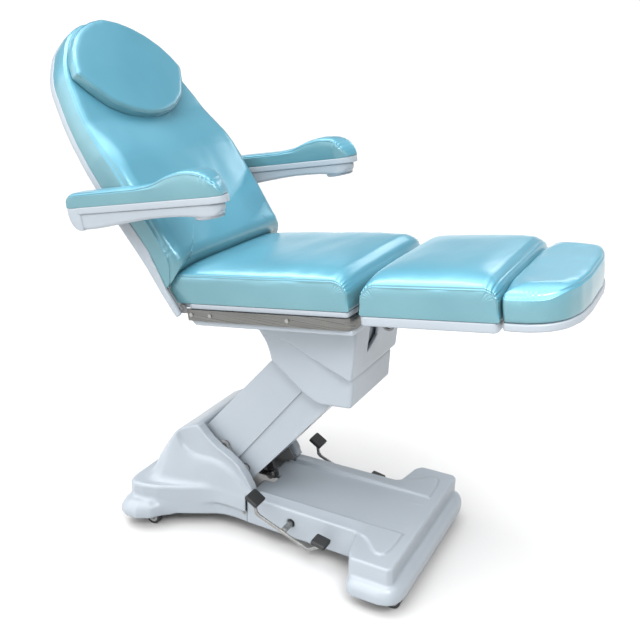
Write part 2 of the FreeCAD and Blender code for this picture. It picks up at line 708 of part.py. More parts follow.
actuator_pair("lift_actuator", LIFT_P1, LIFT_P2, 0.0, 225, 90, 180, (-28.0, 28.0), (10, 70, -34, 0), 1)
actuator_pair("back_actuator", BACK_P1, BACK_P2, 44.0, 330, 110, 205, (-18.0, 32.0), (12, 72, 0, 28), 1)
actuator_pair("leg_actuator", LEG_P1, LEG_P2, -44.0, 250, 80, 165, (-32.0, 18.0), (12, 72, 0, 34), -1)
actuator_pair("tilt_actuator", TILT_P1, TILT_P2, 0.0, 128, 40, 82, (-27.0, 27.0), (14, 60, 0, 22), 1)

# ================================================================ base
low_pin = (S["low_pin_x"], S["low_pin_z"])
up_pin = (S["up_pin_x"], S["up_pin_z"])
fx, rx, cy = S["front_castor_x"], S["rear_castor_x"], S["castor_y"]
sx, sz = S["pedal_x"], S["pedal_z"]
parts, cuts = [], []
for s in (-1, 1):
    parts.append(prism("upright", [
        (-290, 76), (-112, 76), (-118, 165), (-144, 208), (-146, 228), (-154, 238), (-168, 242), (-198, 264), (-219, 288), (-223, 302), (-234, 308), (-248, 306), (-258, 300), (-290, 250),
    ], d("upright_thick"), y=s * (ui + ut / 2), holes=[(low_pin[0], low_pin[1], lr + gap), (up_pin[0], up_pin[1], ur + gap)]))
    a, b = span(s, 88.0, 118.5)
    parts.append(block(rx - 15, fx + 15, a, b, 76, 126))
    cuts.append(round_y(sx, sz, d("pedal_shaft_r") + gap, a - 1, b + 1))
    a, b = span(s, 20.0, 28.5)
    parts += [block(rx - 14, rx + 14, a, b, 100, LIFT_P1[1]), round_y(LIFT_P1[0], LIFT_P1[1], 14.0, a, b)]
    cuts.append(round_y(LIFT_P1[0], LIFT_P1[1], d("trunnion_r") + gap, a - 1, b + 1))
for x in (rx, fx):
    parts.append(block(x - 15, x + 15, -250.5, 250.5, 78, 108))
    for y in (-cy, cy):
        cuts.append(round_z(x, y, d("stem_r") + gap, 70, 120))
parts += [block(120, 320, -88.5, 88.5, 78, 82), block(-16, 36, -88.5, 88.5, 62, 70)]
parts += [block(-16, 36, *span(s, 80.0, 90.0), 62, 84) for s in (-1, 1)]
cuts.append(round_z(S["lock_x"], 0, d("lock_rod_r") + gap, 55, 80))
base_frame = cut(fuse(parts), cuts)
base_frame.Placement = WORLD
node(base_frame, "base_frame")

base_pins = group([round_y(low_pin[0], low_pin[1], lr, -pin_half, pin_half),
                   round_y(up_pin[0], up_pin[1], ur, -pin_half, pin_half)])
base_pins.Placement = WORLD
node(base_pins, "base_pivot_pins")

control_box = cut(block(140, 300, -72, 72, 82, 122), [block(144, 296, -68, 68, 86, 118)])
control_box.Placement = WORLD
node(control_box, "control_box")


# moulded covers: hollow shells, open underneath
def plate(half, z0, z1):
    pts = [V(x, y, z0) for x, y in mirrored(half)]
    face = Part.Face(Part.makePolygon(pts + [pts[0]]))
    return face.extrude(V(0, 0, z1 - z0))


def side_plate(pts, y0, y1):
    vs = [V(x, y0, z) for x, z in pts]
    face = Part.Face(Part.makePolygon(vs + [vs[0]]))
    return face.extrude(V(0, y1 - y0, 0))


def brick(x0, x1, y0, y1, z0, z1):
    return Part.makeBox(x1 - x0, y1 - y0, z1 - z0, V(x0, y0, z0))


tw, top, pb, pt = S["cover_wall"], S["deck_top"], S["plinth_bottom"], S["plinth_top"]
JOIN = -131.0
front_top = [(JOIN, 0), (JOIN, 160), (255, 165), (268, 178), (282, 262), (300, 285), (414, 285), (426, 272), (426, 0)]
front_low = [(289, 0), (289, 286), (298, 304), (317, 312), (398, 312), (432, 303), (452, 276), (458, 236), (458, 0)]
outer = plate(front_top, 54, top).fuse(plate(front_low, pb, pt))
in_top = [(JOIN - 20, 0), (JOIN - 20, 156), (252, 161), (272, 178), (286, 262), (303, 281), (411, 281), (422, 268), (422, 0)]
in_low = [(293, 0), (293, 284), (301, 301), (319, 308), (397, 308), (429, 300), (448, 275), (454, 235), (454, 0)]
rails_in = plate(in_top, 10, top - tw).cut(brick(-200, 395, -116, 116, 132, 200))
inner = rails_in.fuse(plate(in_low, 10, pt - tw))
shape = outer.cut(inner)
shape = shape.cut(side_plate([(-200, 138), (392, 156.5), (392, 200), (-200, 200)], -112, 112))
for s in (-1, 1):
    shape = shape.fuse(brick(-146, JOIN + 1, *span(s, 27, 114), 132, 140))
    shape = shape.cut(brick(-200, -107, *span(s, 116, 129), 100, 200))
shape = shape.cut(brick(-200, -107, -27, 27, 100, 200))
for s in (-1, 1):
    hole = Part.makeCylinder(S["pedal_shaft_r"] + 4, 30, V(sx, s * 160 - 15, sz), V(0, 1, 0))
    shape = shape.cut(hole)
front_cover = doc.addObject("Part::Feature", "front_cover")
front_cover.Shape = shape.removeSplitter()
front_cover.Placement = WORLD
node(front_cover, "front_cover")

rear_top = [(JOIN - 0.5, 0), (JOIN - 0.5, 158), (-205, 154), (-253, 163), (-341, 208), (-425, 250), (-506, 265),
            (-530, 252), (-538, 220), (-538, 0)]
rear_low = [(-395, 0), (-395, 238), (-425, 290), (-470, 312), (-512, 312), (-540, 297), (-554, 264), (-554, 0)]
hood = [(-506, 145), (-480, 215), (-452, 268), (-423, 302), (-386, 334), (-350, 352), (-324, 364), (-306, 364),
        (-281, 334), (-236, 301), (-192, 278), (-153, 247), (-132, 220), (-114, 188), (-106, 157.5), (-131.5, 156), (-131.5, 145)]
hh, hg = S["hood_half"], S["hood_gap_half"]
outer = plate(rear_top, 48, 150).fuse(plate(rear_low, pb, pt)).fuse(side_plate(hood, -hh, hh))
in_top = [(JOIN + 30, 0), (JOIN + 30, 154), (-205, 150), (-254, 159), (-342, 204), (-426, 246), (-505, 261),
          (-527, 249), (-534, 219), (-534, 0)]
in_low = [(-399, 0), (-399, 238), (-428, 287), (-471, 308), (-511, 308), (-537, 294), (-550, 263), (-550, 0)]
hood_in = [(-501, 120), (-476, 213), (-449, 265), (-420, 298), (-384, 329), (-348, 347.5), (-323, 359.5), (-308, 359.5),
           (-284.5, 330.5), (-239, 297), (-194.5, 274), (-156, 243.5), (-135.8, 217.5), (-118, 187), (-110.5, 158), (-110.5, 120)]
inner = plate(in_top, 10, 146).fuse(plate(in_low, 10, pt - tw)).fuse(side_plate(hood_in, -hh + tw, hh - tw))
tier = [(-280, 0), (-280, 160), (-306, 168), (-379, 188), (-441, 203), (-470, 204), (-490, 186), (-496, 150), (-496, 0)]
tier_in = [(-276, 0), (-276, 157), (-305, 164), (-378, 184), (-440, 199), (-468, 200), (-486, 184), (-492, 150), (-492, 0)]
outer = outer.fuse(plate(tier, 140, 196))
inner = inner.fuse(plate(tier_in, 120, 192))
shape = outer.cut(inner)
shape = shape.cut(side_plate([(-312, 60), (-312, 352), (-304, 420), (-60, 420), (-60, 60)], -hg, hg))
shape = shape.cut(brick(-552, -520, -26, 26, 105, 137))
for s in (-1, 1):
    shape = shape.cut(Part.makeCylinder(2.8, 30, V(-144, s * 157 - 15, 86), V(0, 1, 0)))
rear_cover = doc.addObject("Part::Feature", "rear_cover")
rear_cover.Shape = shape.removeSplitter()
rear_cover.Placement = WORLD
node(rear_cover, "rear_cover")

inlet = cut(fuse([block(-541, -538.1, -29, 29, 102, 140), block(-538.2, -510, -25.5, 25.5, 105.5, 136.5)]),
            [block(-550, -522, -14, 14, 111, 131)])
inlet.Placement = WORLD
node(inlet, "power_inlet")


def cover_screw(s):
    h0, h1 = span(s, 157.8, 160.5)
    s0, s1 = span(s, 142.0, 158.2)
    return fuse([round_y(-144, 86, 5.0, h0, h1), round_y(-144, 86, 2.4, s0, s1)])


cover_screws = group(both(cover_screw))
cover_screws.Placement = WORLD
node(cover_screws, "cover_screws")

# ================================================================ pedals and floor lock
pr = d("pedal_shaft_r")
tip = math.radians(160.0)
lever_x, lever_z = sx + 25.0 * math.cos(tip), sz + 25.0 * math.sin(tip)
pedal_shaft = fuse([
    round_y(sx, sz, pr, -S["pedal_bar_y"], S["pedal_bar_y"]),
    prism("lever", [(sx + 8, sz - 13), (sx + 12, sz + 8), (lever_x + 4, lever_z + 6), (lever_x - 5, lever_z + 2),
                    (lever_x - 3, lever_z - 6)], 10),
    round_y(lever_x, lever_z, 5.0, -20, 20),
])
pedal_shaft.Placement = WORLD
node(pedal_shaft, "pedal_shaft")

BAR = [(-76, 189.5), (-69, 139), (-59, 131), (113, 66), (122, 64), (168, 92), (163, 100), (121, 75), (115, 76), (-50, 139),
       (-59, 147), (-66, 183.5)]


def bar(s):
    return prism("pedal_bar", BAR, d("pedal_bar_thick"), y=s * (S["pedal_bar_y"] + S["pedal_bar_thick"] / 2))


pedal_bars = group(both(bar))
pedal_bars.Placement = WORLD
node(pedal_bars, "pedal_bars")


def foot_pad(x, z, turn, s, wide):
    b = doc.addObject("Part::Box", uid("pedal_pad"))
    b.Length, b.Width, b.Height = 48, wide, 13
    y = s * (S["pedal_bar_y"] + 3.0)
    b.Placement = FreeCAD.Placement(V(x, y, z), FreeCAD.Rotation(V(0, 1, 0), turn)).multiply(
        FreeCAD.Placement(V(-24, -wide / 2, 0.3), FreeCAD.Rotation()))
    return b


pedal_pads = group([foot_pad(-71, 187, 31, s, 56) for s in (-1, 1)] + [foot_pad(163.5, 105, 10, s, 48) for s in (-1, 1)])
pedal_pads.Placement = WORLD
node(pedal_pads, "pedal_pads")

lx = S["lock_x"]
lock_plunger = cut(
    fuse([round_z(lx, 0, d("lock_rod_r"), 30, 93), block(lx - 16, lx + 11, -19, 19, 91, 97)]
         + [block(lx - 16, lx + 11, *span(s, 8.0, 19.0), 91, 128) for s in (-1, 1)]),
    [round_y(lever_x, lever_z, 9.0, -30, 30)])
lock_plunger.Placement = WORLD
node(lock_plunger, "lock_plunger")
lock_foot = fuse([round_z(lx, 0, d("lock_foot_r"), 18, 30), round_z(lx, 0, 24.0, 17, 19)])
lock_foot.Placement = WORLD
node(lock_foot, "lock_foot")

# ================================================================ castors
wr, ww, trail = S["wheel_r"], S["wheel_width"], S["castor_trail"]
for x, y, word in ((fx, cy, "front_left"), (fx, -cy, "front_right"), (rx, cy, "rear_left"), (rx, -cy, "rear_right")):
    wx = x + trail
    fork = fuse([
        round_z(x, y, d("stem_r"), 60, 106), round_z(x, y, 13.0, 64, 77.5), round_z(x, y, 19.0, 59, 65),
        block(x - 12, wx + 12, y - 16, y + 16, 58.5, 62),
        round_y(wx, wr, d("axle_r"), y - 16, y + 16),
    ] + [block(wx - 9, wx + 9, y + a, y + b, wr - 8, 60) for a, b in ((-16, -13), (13, 16))])
    fork.Placement = WORLD
    node(fork, "castor_fork_" + word)
    hub = cut(fuse([round_y(wx, wr, wr - S["tread_depth"] - 0.05, y - ww / 2, y + ww / 2),
                    round_y(wx, wr, 9.0, y - ww / 2 - 2.5, y + ww / 2 + 2.5)]),
              [round_y(wx, wr, d("axle_r") + gap, y - 20, y + 20)])
    hub.Placement = WORLD
    node(hub, "castor_hub_" + word)
    tyre = cut(round_y(wx, wr, d("wheel_r"), y - ww / 2, y + ww / 2),
               [round_y(wx, wr, d("wheel_r") - d("tread_depth"), y - ww, y + ww)])
    tyre.Placement = WORLD
    node(tyre, "castor_tyre_" + word)

# ---------------------------------------------------------------- check and write
doc.recompute()
problems = []
for obj in doc.Objects:
    if any(word in ("Invalid", "Error") for word in obj.State):
        problems.append("%s (%s): %s" % (obj.Name, obj.Label, obj.State))
labels = [o.Label for o in NODES]
for name in sorted(set(labels)):
    if labels.count(name) > 1:
        problems.append("label used twice: " + name)
for obj in NODES:
    if obj.Shape.isNull() or not obj.Shape.isValid() or not obj.Shape.Solids:
        problems.append("%s: no valid solid" % obj.Label)
if len(NODES) > 60:
    problems.append("%d nodes" % len(NODES))
if problems:
    raise SystemExit("\n".join(problems))

os.makedirs("parts", exist_ok=True)
box = FreeCAD.BoundBox()
for obj in NODES:
    obj.Shape.exportStep("parts/%s.step" % obj.Label)
    box.add(obj.Shape.BoundBox)
    print("%-28s solids %2d  volume %9.0f mm3" % (obj.Label, len(obj.Shape.Solids), obj.Shape.Volume))
print("nodes", len(NODES), "box x %.1f..%.1f y %.1f..%.1f z %.1f..%.1f" % (
    box.XMin, box.XMax, box.YMin, box.YMax, box.ZMin, box.ZMax))
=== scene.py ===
import math

import bmesh
import bpy
import numpy as np
from mathutils import Matrix, Vector, noise


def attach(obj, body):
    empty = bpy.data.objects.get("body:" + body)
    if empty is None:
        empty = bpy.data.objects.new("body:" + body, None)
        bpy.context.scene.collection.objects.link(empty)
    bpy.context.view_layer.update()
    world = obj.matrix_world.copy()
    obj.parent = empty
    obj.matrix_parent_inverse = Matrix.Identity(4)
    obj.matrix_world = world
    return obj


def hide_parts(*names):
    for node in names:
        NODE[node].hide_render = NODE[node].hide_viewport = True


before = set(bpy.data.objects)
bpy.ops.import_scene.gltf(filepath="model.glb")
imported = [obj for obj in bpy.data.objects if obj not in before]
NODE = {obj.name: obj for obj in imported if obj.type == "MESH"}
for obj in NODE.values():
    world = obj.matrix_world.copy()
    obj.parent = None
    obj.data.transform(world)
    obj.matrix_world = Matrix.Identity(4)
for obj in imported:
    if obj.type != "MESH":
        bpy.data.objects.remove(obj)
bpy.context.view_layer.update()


# ---------------------------------------------------------------- materials
def new_material(name):
    m = bpy.data.materials.new(name)
    m.use_nodes = True
    return m, m.node_tree, m.node_tree.nodes["Principled BSDF"]


def tex_point(nt, scale=(1.0, 1.0, 1.0), turn=0.0):
    tc = nt.nodes.new("ShaderNodeTexCoord")
    mp = nt.nodes.new("ShaderNodeMapping")
    mp.inputs["Scale"].default_value = scale
    mp.inputs["Rotation"].default_value = (0.0, turn, 0.0)
    nt.links.new(tc.outputs["Object"], mp.inputs["Vector"])
    return mp.outputs["Vector"]


def noise_node(nt, vec, scale, detail=2.0, rough=0.5):
    n = nt.nodes.new("ShaderNodeTexNoise")
    n.inputs["Scale"].default_value = scale
    n.inputs["Detail"].default_value = detail
    n.inputs["Roughness"].default_value = rough
    nt.links.new(vec, n.inputs["Vector"])
    return n.outputs["Fac"]


def ramp(nt, fac, c0, c1, p0=0.3, p1=0.7):
    r = nt.nodes.new("ShaderNodeValToRGB")
    e = r.color_ramp.elements
    e[0].position, e[1].position = p0, p1
    e[0].color, e[1].color = (*c0, 1.0), (*c1, 1.0)
    nt.links.new(fac, r.inputs["Fac"])
    return r.outputs["Color"]


def spread(nt, fac, lo, hi):
    r = nt.nodes.new("ShaderNodeMapRange")
    r.inputs["From Min"].default_value, r.inputs["From Max"].default_value = 0.3, 0.7
    r.inputs["To Min"].default_value, r.inputs["To Max"].default_value = lo, hi
    nt.links.new(fac, r.inputs["Value"])
    return r.outputs["Result"]


def bump(nt, height, strength, distance, under=None):
    b = nt.nodes.new("ShaderNodeBump")
    b.inputs["Strength"].default_value = strength
    b.inputs["Distance"].default_value = distance
    nt.links.new(height, b.inputs["Height"])
    if under is not None:
        nt.links.new(under, b.inputs["Normal"])
    return b.outputs["Normal"]


def upholstery_material():
    m, nt, b = new_material("pearl_upholstery_painted_facing_shade")
    v = tex_point(nt)
    # Painted shade and reflection: upward-facing surfaces get the bluer top colour and side-facing surfaces a greyer,
    # greener colour, blended by how far the normal points up.
    top = ramp(nt, noise_node(nt, v, 4.0), (0.085, 0.285, 0.385), (0.105, 0.322, 0.425))
    side = ramp(nt, noise_node(nt, v, 5.0), (0.098, 0.235, 0.275), (0.118, 0.265, 0.305))
    geo = nt.nodes.new("ShaderNodeNewGeometry")
    sep = nt.nodes.new("ShaderNodeSeparateXYZ")
    nt.links.new(geo.outputs["Normal"], sep.inputs["Vector"])
    facing_shade_mask = nt.nodes.new("ShaderNodeMapRange")
    facing_shade_mask.interpolation_type = "SMOOTHSTEP"
    facing_shade_mask.inputs["From Min"].default_value, facing_shade_mask.inputs["From Max"].default_value = 0.05, 0.60
    nt.links.new(sep.outputs["Z"], facing_shade_mask.inputs["Value"])
    # Blend of the lit top colour and the painted side shade by facing.
    painted_facing_shade_mix = nt.nodes.new("ShaderNodeMix")
    painted_facing_shade_mix.data_type = "RGBA"
    nt.links.new(facing_shade_mask.outputs["Result"], painted_facing_shade_mix.inputs["Factor"])
    nt.links.new(side, painted_facing_shade_mix.inputs[6])
    nt.links.new(top, painted_facing_shade_mix.inputs[7])
    nt.links.new(painted_facing_shade_mix.outputs[2], b.inputs["Base Color"])
    b.inputs["Roughness"].default_value = 0.30
    b.inputs["Metallic"].default_value = 0.25
    b.inputs["Coat Weight"].default_value = 0.65
    b.inputs["Coat Roughness"].default_value = 0.22
    b.inputs["IOR"].default_value = 1.5
    return m


def plastic_material(name, dark, light, lo=0.30, hi=0.38, coat=0.12, grain=0.05, scale=900.0):
    m, nt, b = new_material(name)
    v = tex_point(nt)
    nt.links.new(ramp(nt, noise_node(nt, v, 3.0), dark, light), b.inputs["Base Color"])
    nt.links.new(spread(nt, noise_node(nt, v, 45.0, 4.0), lo, hi), b.inputs["Roughness"])
    b.inputs["Coat Weight"].default_value = coat
    b.inputs["Coat Roughness"].default_value = 0.25
    nt.links.new(bump(nt, noise_node(nt, v, scale, 3.0), grain, 0.0006), b.inputs["Normal"])
    return m


def metal_material(name, dark, light, lo, hi, stretch, turn=0.0, strength=0.06):
    m, nt, b = new_material(name)
    v = tex_point(nt, stretch, turn)
    lines = noise_node(nt, v, 1.0, 4.0, 0.65)
    nt.links.new(ramp(nt, lines, dark, light), b.inputs["Base Color"])
    nt.links.new(spread(nt, lines, lo, hi), b.inputs["Roughness"])
    b.inputs["Metallic"].default_value = 1.0
    nt.links.new(bump(nt, lines, strength, 0.0005), b.inputs["Normal"])
    return m


BLUE = upholstery_material()
WHITE = plastic_material("moulded_white", (0.288, 0.324, 0.360), (0.308, 0.344, 0.380))
RAIL = metal_material("brushed_stainless", (0.11, 0.11, 0.105), (0.25, 0.25, 0.24), 0.24, 0.38, (5.0, 60.0, 900.0), math.radians(-7.0))
STEEL = metal_material("bright_steel", (0.27, 0.27, 0.265), (0.40, 0.40, 0.39), 0.22, 0.30, (25.0, 160.0, 25.0))
ZINC = metal_material("zinc_plate", (0.24, 0.24, 0.23), (0.36, 0.355, 0.34), 0.32, 0.46, (70.0, 70.0, 70.0), 0.0, 0.04)
PAINT = plastic_material("painted_frame_dark", (0.030, 0.031, 0.033), (0.042, 0.043, 0.046), 0.42, 0.55, 0.05, 0.16, 500.0)
FRAME = plastic_material("painted_frame_light", (0.17, 0.175, 0.18), (0.21, 0.215, 0.22), 0.40, 0.50, 0.05, 0.12, 500.0)
# Painted shade: the inner walls of the white covers are near-black to stand in for the shade of the enclosed space, not
# the moulding's own colour.
INSIDE_SHADE = plastic_material("cover_inside_painted_shade", (0.045, 0.046, 0.048), (0.060, 0.061, 0.064), 0.6, 0.75, 0.0, 0.2, 300.0)
MOTOR = plastic_material("motor_case_grey", (0.055, 0.058, 0.062), (0.075, 0.078, 0.083), 0.40, 0.52, 0.05, 0.2, 600.0)
BLACK = plastic_material("black_plastic", (0.012, 0.012, 0.013), (0.022, 0.022, 0.024), 0.38, 0.50, 0.05, 0.2, 700.0)
RUBBER = plastic_material("black_rubber", (0.010, 0.011, 0.012), (0.020, 0.021, 0.022), 0.50, 0.66, 0.0, 0.30, 520.0)
HUB = plastic_material("castor_hub_grey", (0.28, 0.285, 0.29), (0.33, 0.335, 0.34), 0.35, 0.48, 0.1, 0.08, 700.0)

NODE_LOOK = {
    "base_frame": FRAME, "base_pivot_pins": MOTOR, "cover_screws": ZINC, "control_box": BLACK, "power_inlet": BLACK,
    "pedal_shaft": STEEL, "pedal_bars": STEEL, "lock_plunger": ZINC, "lock_foot": RUBBER,
    "lift_arm": PAINT, "level_link": PAINT, "head_bracket": PAINT, "head_pivot_pins": STEEL,
    "seat_frame": FRAME, "side_rails": RAIL, "rail_screws": STEEL, "seat_hinge_pins": STEEL,
    "back_frame": FRAME, "leg_frame": FRAME, "foot_guide_rods": STEEL,
    "lower_arm_cover": WHITE, "upper_arm_cover": WHITE,
}
for motor in ("lift", "tilt", "back", "leg"):
    NODE_LOOK[motor + "_actuator"] = MOTOR
    NODE_LOOK[motor + "_actuator_rod"] = STEEL
for spot in ("front_left", "front_right", "rear_left", "rear_right"):
    NODE_LOOK["castor_fork_" + spot] = ZINC
    NODE_LOOK["castor_hub_" + spot] = HUB
    NODE_LOOK["castor_tyre_" + spot] = RUBBER
for name, mat in NODE_LOOK.items():
    me = NODE[name].data
    me.materials.clear()
    me.materials.append(mat)


def soften_edges(name, width, segments=3):
    """Rounds the edges of a flat-sided piece without touching its own mesh."""
    o = NODE[name]
    w = o.modifiers.new("weld", "WELD")
    w.merge_threshold = 1e-5
    f = o.modifiers.new("flats", "DECIMATE")
    f.decimate_type = "DISSOLVE"
    f.angle_limit = math.radians(1.0)
    b = o.modifiers.new("edges", "BEVEL")
    b.width = width * 0.001
    b.segments = segments
    b.limit_method = "ANGLE"
    b.angle_limit = math.radians(28.0)
    b.harden_normals = True
    n = o.modifiers.new("shading", "WEIGHTED_NORMAL")
    n.keep_sharp = False
    n.weight = 80


soften_edges("upper_arm_cover", 5.0)
soften_edges("lower_arm_cover", 5.0)
soften_edges("pedal_bars", 1.2, 2)
soften_edges("side_rails", 0.7, 2)


# ---------------------------------------------------------------- frames of the sections
def tilted(ox, oz, deg):
    c, s = math.cos(math.radians(deg)), math.sin(math.radians(deg))

    def put(p):
        p = np.asarray(p, float)
        return np.stack([ox + p[..., 0] * c - p[..., 2] * s, p[..., 1], oz + p[..., 0] * s + p[..., 2] * c], -1)
    return put


SEAT = tilted(0.0, 851.3, 7.0)
LEG = tilted(270.0, 876.0, 7.3)
ARM = tilted(-480.7, 1083.5, 9.75)
WORLD = tilted(0.0, 0.0, 0.0)


def BACK(p):
    p = np.asarray(p, float)
    return np.stack([-267 - 0.6018 * p[..., 0] + 0.7986 * p[..., 2], p[..., 1],
                     780 + 0.7986 * p[..., 0] + 0.6018 * p[..., 2]], -1)


# ---------------------------------------------------------------- curve helpers
def smooth(a, b, x):
    t = np.clip((np.asarray(x, float) - a) / (b - a), 0.0, 1.0)
    return t * t * (3 - 2 * t)


def fillet(pts, r, seg=6):
    out, n = [], len(pts)
    for i in range(n):
        p, a, c = (np.array(pts[k % n], float) for k in (i, i - 1, i + 1))
        va, vc = a - p, c - p
        la, lc = np.linalg.norm(va), np.linalg.norm(vc)
        ua, uc = va / la, vc / lc
        turn = math.pi - math.acos(max(-1.0, min(1.0, float(ua @ uc))))
        ri = r[i] if isinstance(r, (list, tuple)) else r
        if turn < 1e-3 or ri <= 0:
            out.append(p)
            continue
        t = min(ri * math.tan(turn / 2), 0.49 * la, 0.49 * lc)
        p0, p1 = p + ua * t, p + uc * t
        for k in range(seg + 1):
            q = k / seg
            out.append((1 - q) ** 2 * p0 + 2 * q * (1 - q) * p + q * q * p1)
    return np.array(out)


def resample(loop, n, dense=None):
    """A closed loop with n points, evenly spaced or closer together where dense says."""
    loop = np.asarray(loop, float)
    area = 0.5 * np.sum(loop[:, 0] * np.roll(loop[:, 1], -1) - np.roll(loop[:, 0], -1) * loop[:, 1])
    if area < 0:
        loop = loop[::-1]
    ring = np.vstack([loop, loop[:1]])
    run = np.concatenate([[0], np.cumsum(np.linalg.norm(np.diff(ring, axis=0), axis=1))])
    fine = np.linspace(0, run[-1], 6000)
    pts = np.stack([np.interp(fine, run, ring[:, k]) for k in (0, 1)], 1)
    weight = np.ones(len(fine)) if dense is None else dense(pts)
    total = np.concatenate([[0], np.cumsum(0.5 * (weight[1:] + weight[:-1]))])
    at = np.interp(np.linspace(0, total[-1], n, endpoint=False), total, fine)
    return np.stack([np.interp(at, run, ring[:, k]) for k in (0, 1)], 1)


def inward(loop):
    t = np.roll(loop, -1, 0) - np.roll(loop, 1, 0)
    t = t / np.maximum(np.linalg.norm(t, axis=1), 1e-9)[:, None]
    return np.stack([-t[:, 1], t[:, 0]], 1)


def mirrored(half):
    return [(a, y) for a, y in half] + [(a, -y) for a, y in reversed(half) if y > 1e-6]


def arcs(loop):
    return np.concatenate([[0], np.cumsum(np.linalg.norm(np.diff(loop, axis=0), axis=1))])


# ---------------------------------------------------------------- mesh helpers
def vertex_normals(v, quads):
    n = np.zeros_like(v)
    a, b, c, e = (v[quads[:, k]] for k in range(4))
    f = np.cross(c - a, e - b)
    for k in range(4):
        np.add.at(n, quads[:, k], f)
    return n / np.maximum(np.linalg.norm(n, axis=1), 1e-12)[:, None]


def grid_quads(rows, cols, start=0, closed=True):
    i = np.arange(rows - 1)[:, None]
    j = np.arange(cols if closed else cols - 1)[None, :]
    k = (j + 1) % cols
    q = np.stack(np.broadcast_arrays(i * cols + j, i * cols + k, (i + 1) * cols + k, (i + 1) * cols + j), -1)
    return q.reshape(-1, 4) + start


def make(name, verts, faces, body, mat, stands_for=(), flat=False, tidy=True):
    """A new piece from millimetre points in the part's frame, riding on a body."""
    me = bpy.data.meshes.new(name)
    me.from_pydata((np.asarray(verts, float) * 0.001).tolist(), [], [list(map(int, f)) for f in faces])
    if tidy:
        bm = bmesh.new()
        bm.from_mesh(me)
        bmesh.ops.remove_doubles(bm, verts=bm.verts, dist=2e-5)
        bmesh.ops.dissolve_degenerate(bm, edges=bm.edges, dist=1e-6)
        bmesh.ops.recalc_face_normals(bm, faces=bm.faces)
        bm.to_mesh(me)
        bm.free()
    me.polygons.foreach_set("use_smooth", [not flat] * len(me.polygons))
    me.materials.append(mat)
    me.update()
    o = bpy.data.objects.new(name, me)
    bpy.context.scene.collection.objects.link(o)
    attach(o, body)
    if stands_for:
        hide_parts(*stands_for)
    return o


def wavy(points, size, seed):
    off = Vector((seed * 3.7, seed * 1.9, seed * 5.3))
    return np.array([noise.noise(Vector(p) / size + off) for p in points])


# ---------------------------------------------------------------- upholstered pieces
def edge_distance(p, loop):
    best = np.full(len(p), 1e18)
    step = np.roll(loop, -1, 0) - loop
    for a, e in zip(loop, step):
        w = p - a
        t = np.clip((w @ e) / max(float(e @ e), 1e-12), 0, 1)
        q = w - t[:, None] * e
        best = np.minimum(best, (q * q).sum(1))
    return np.sqrt(best)


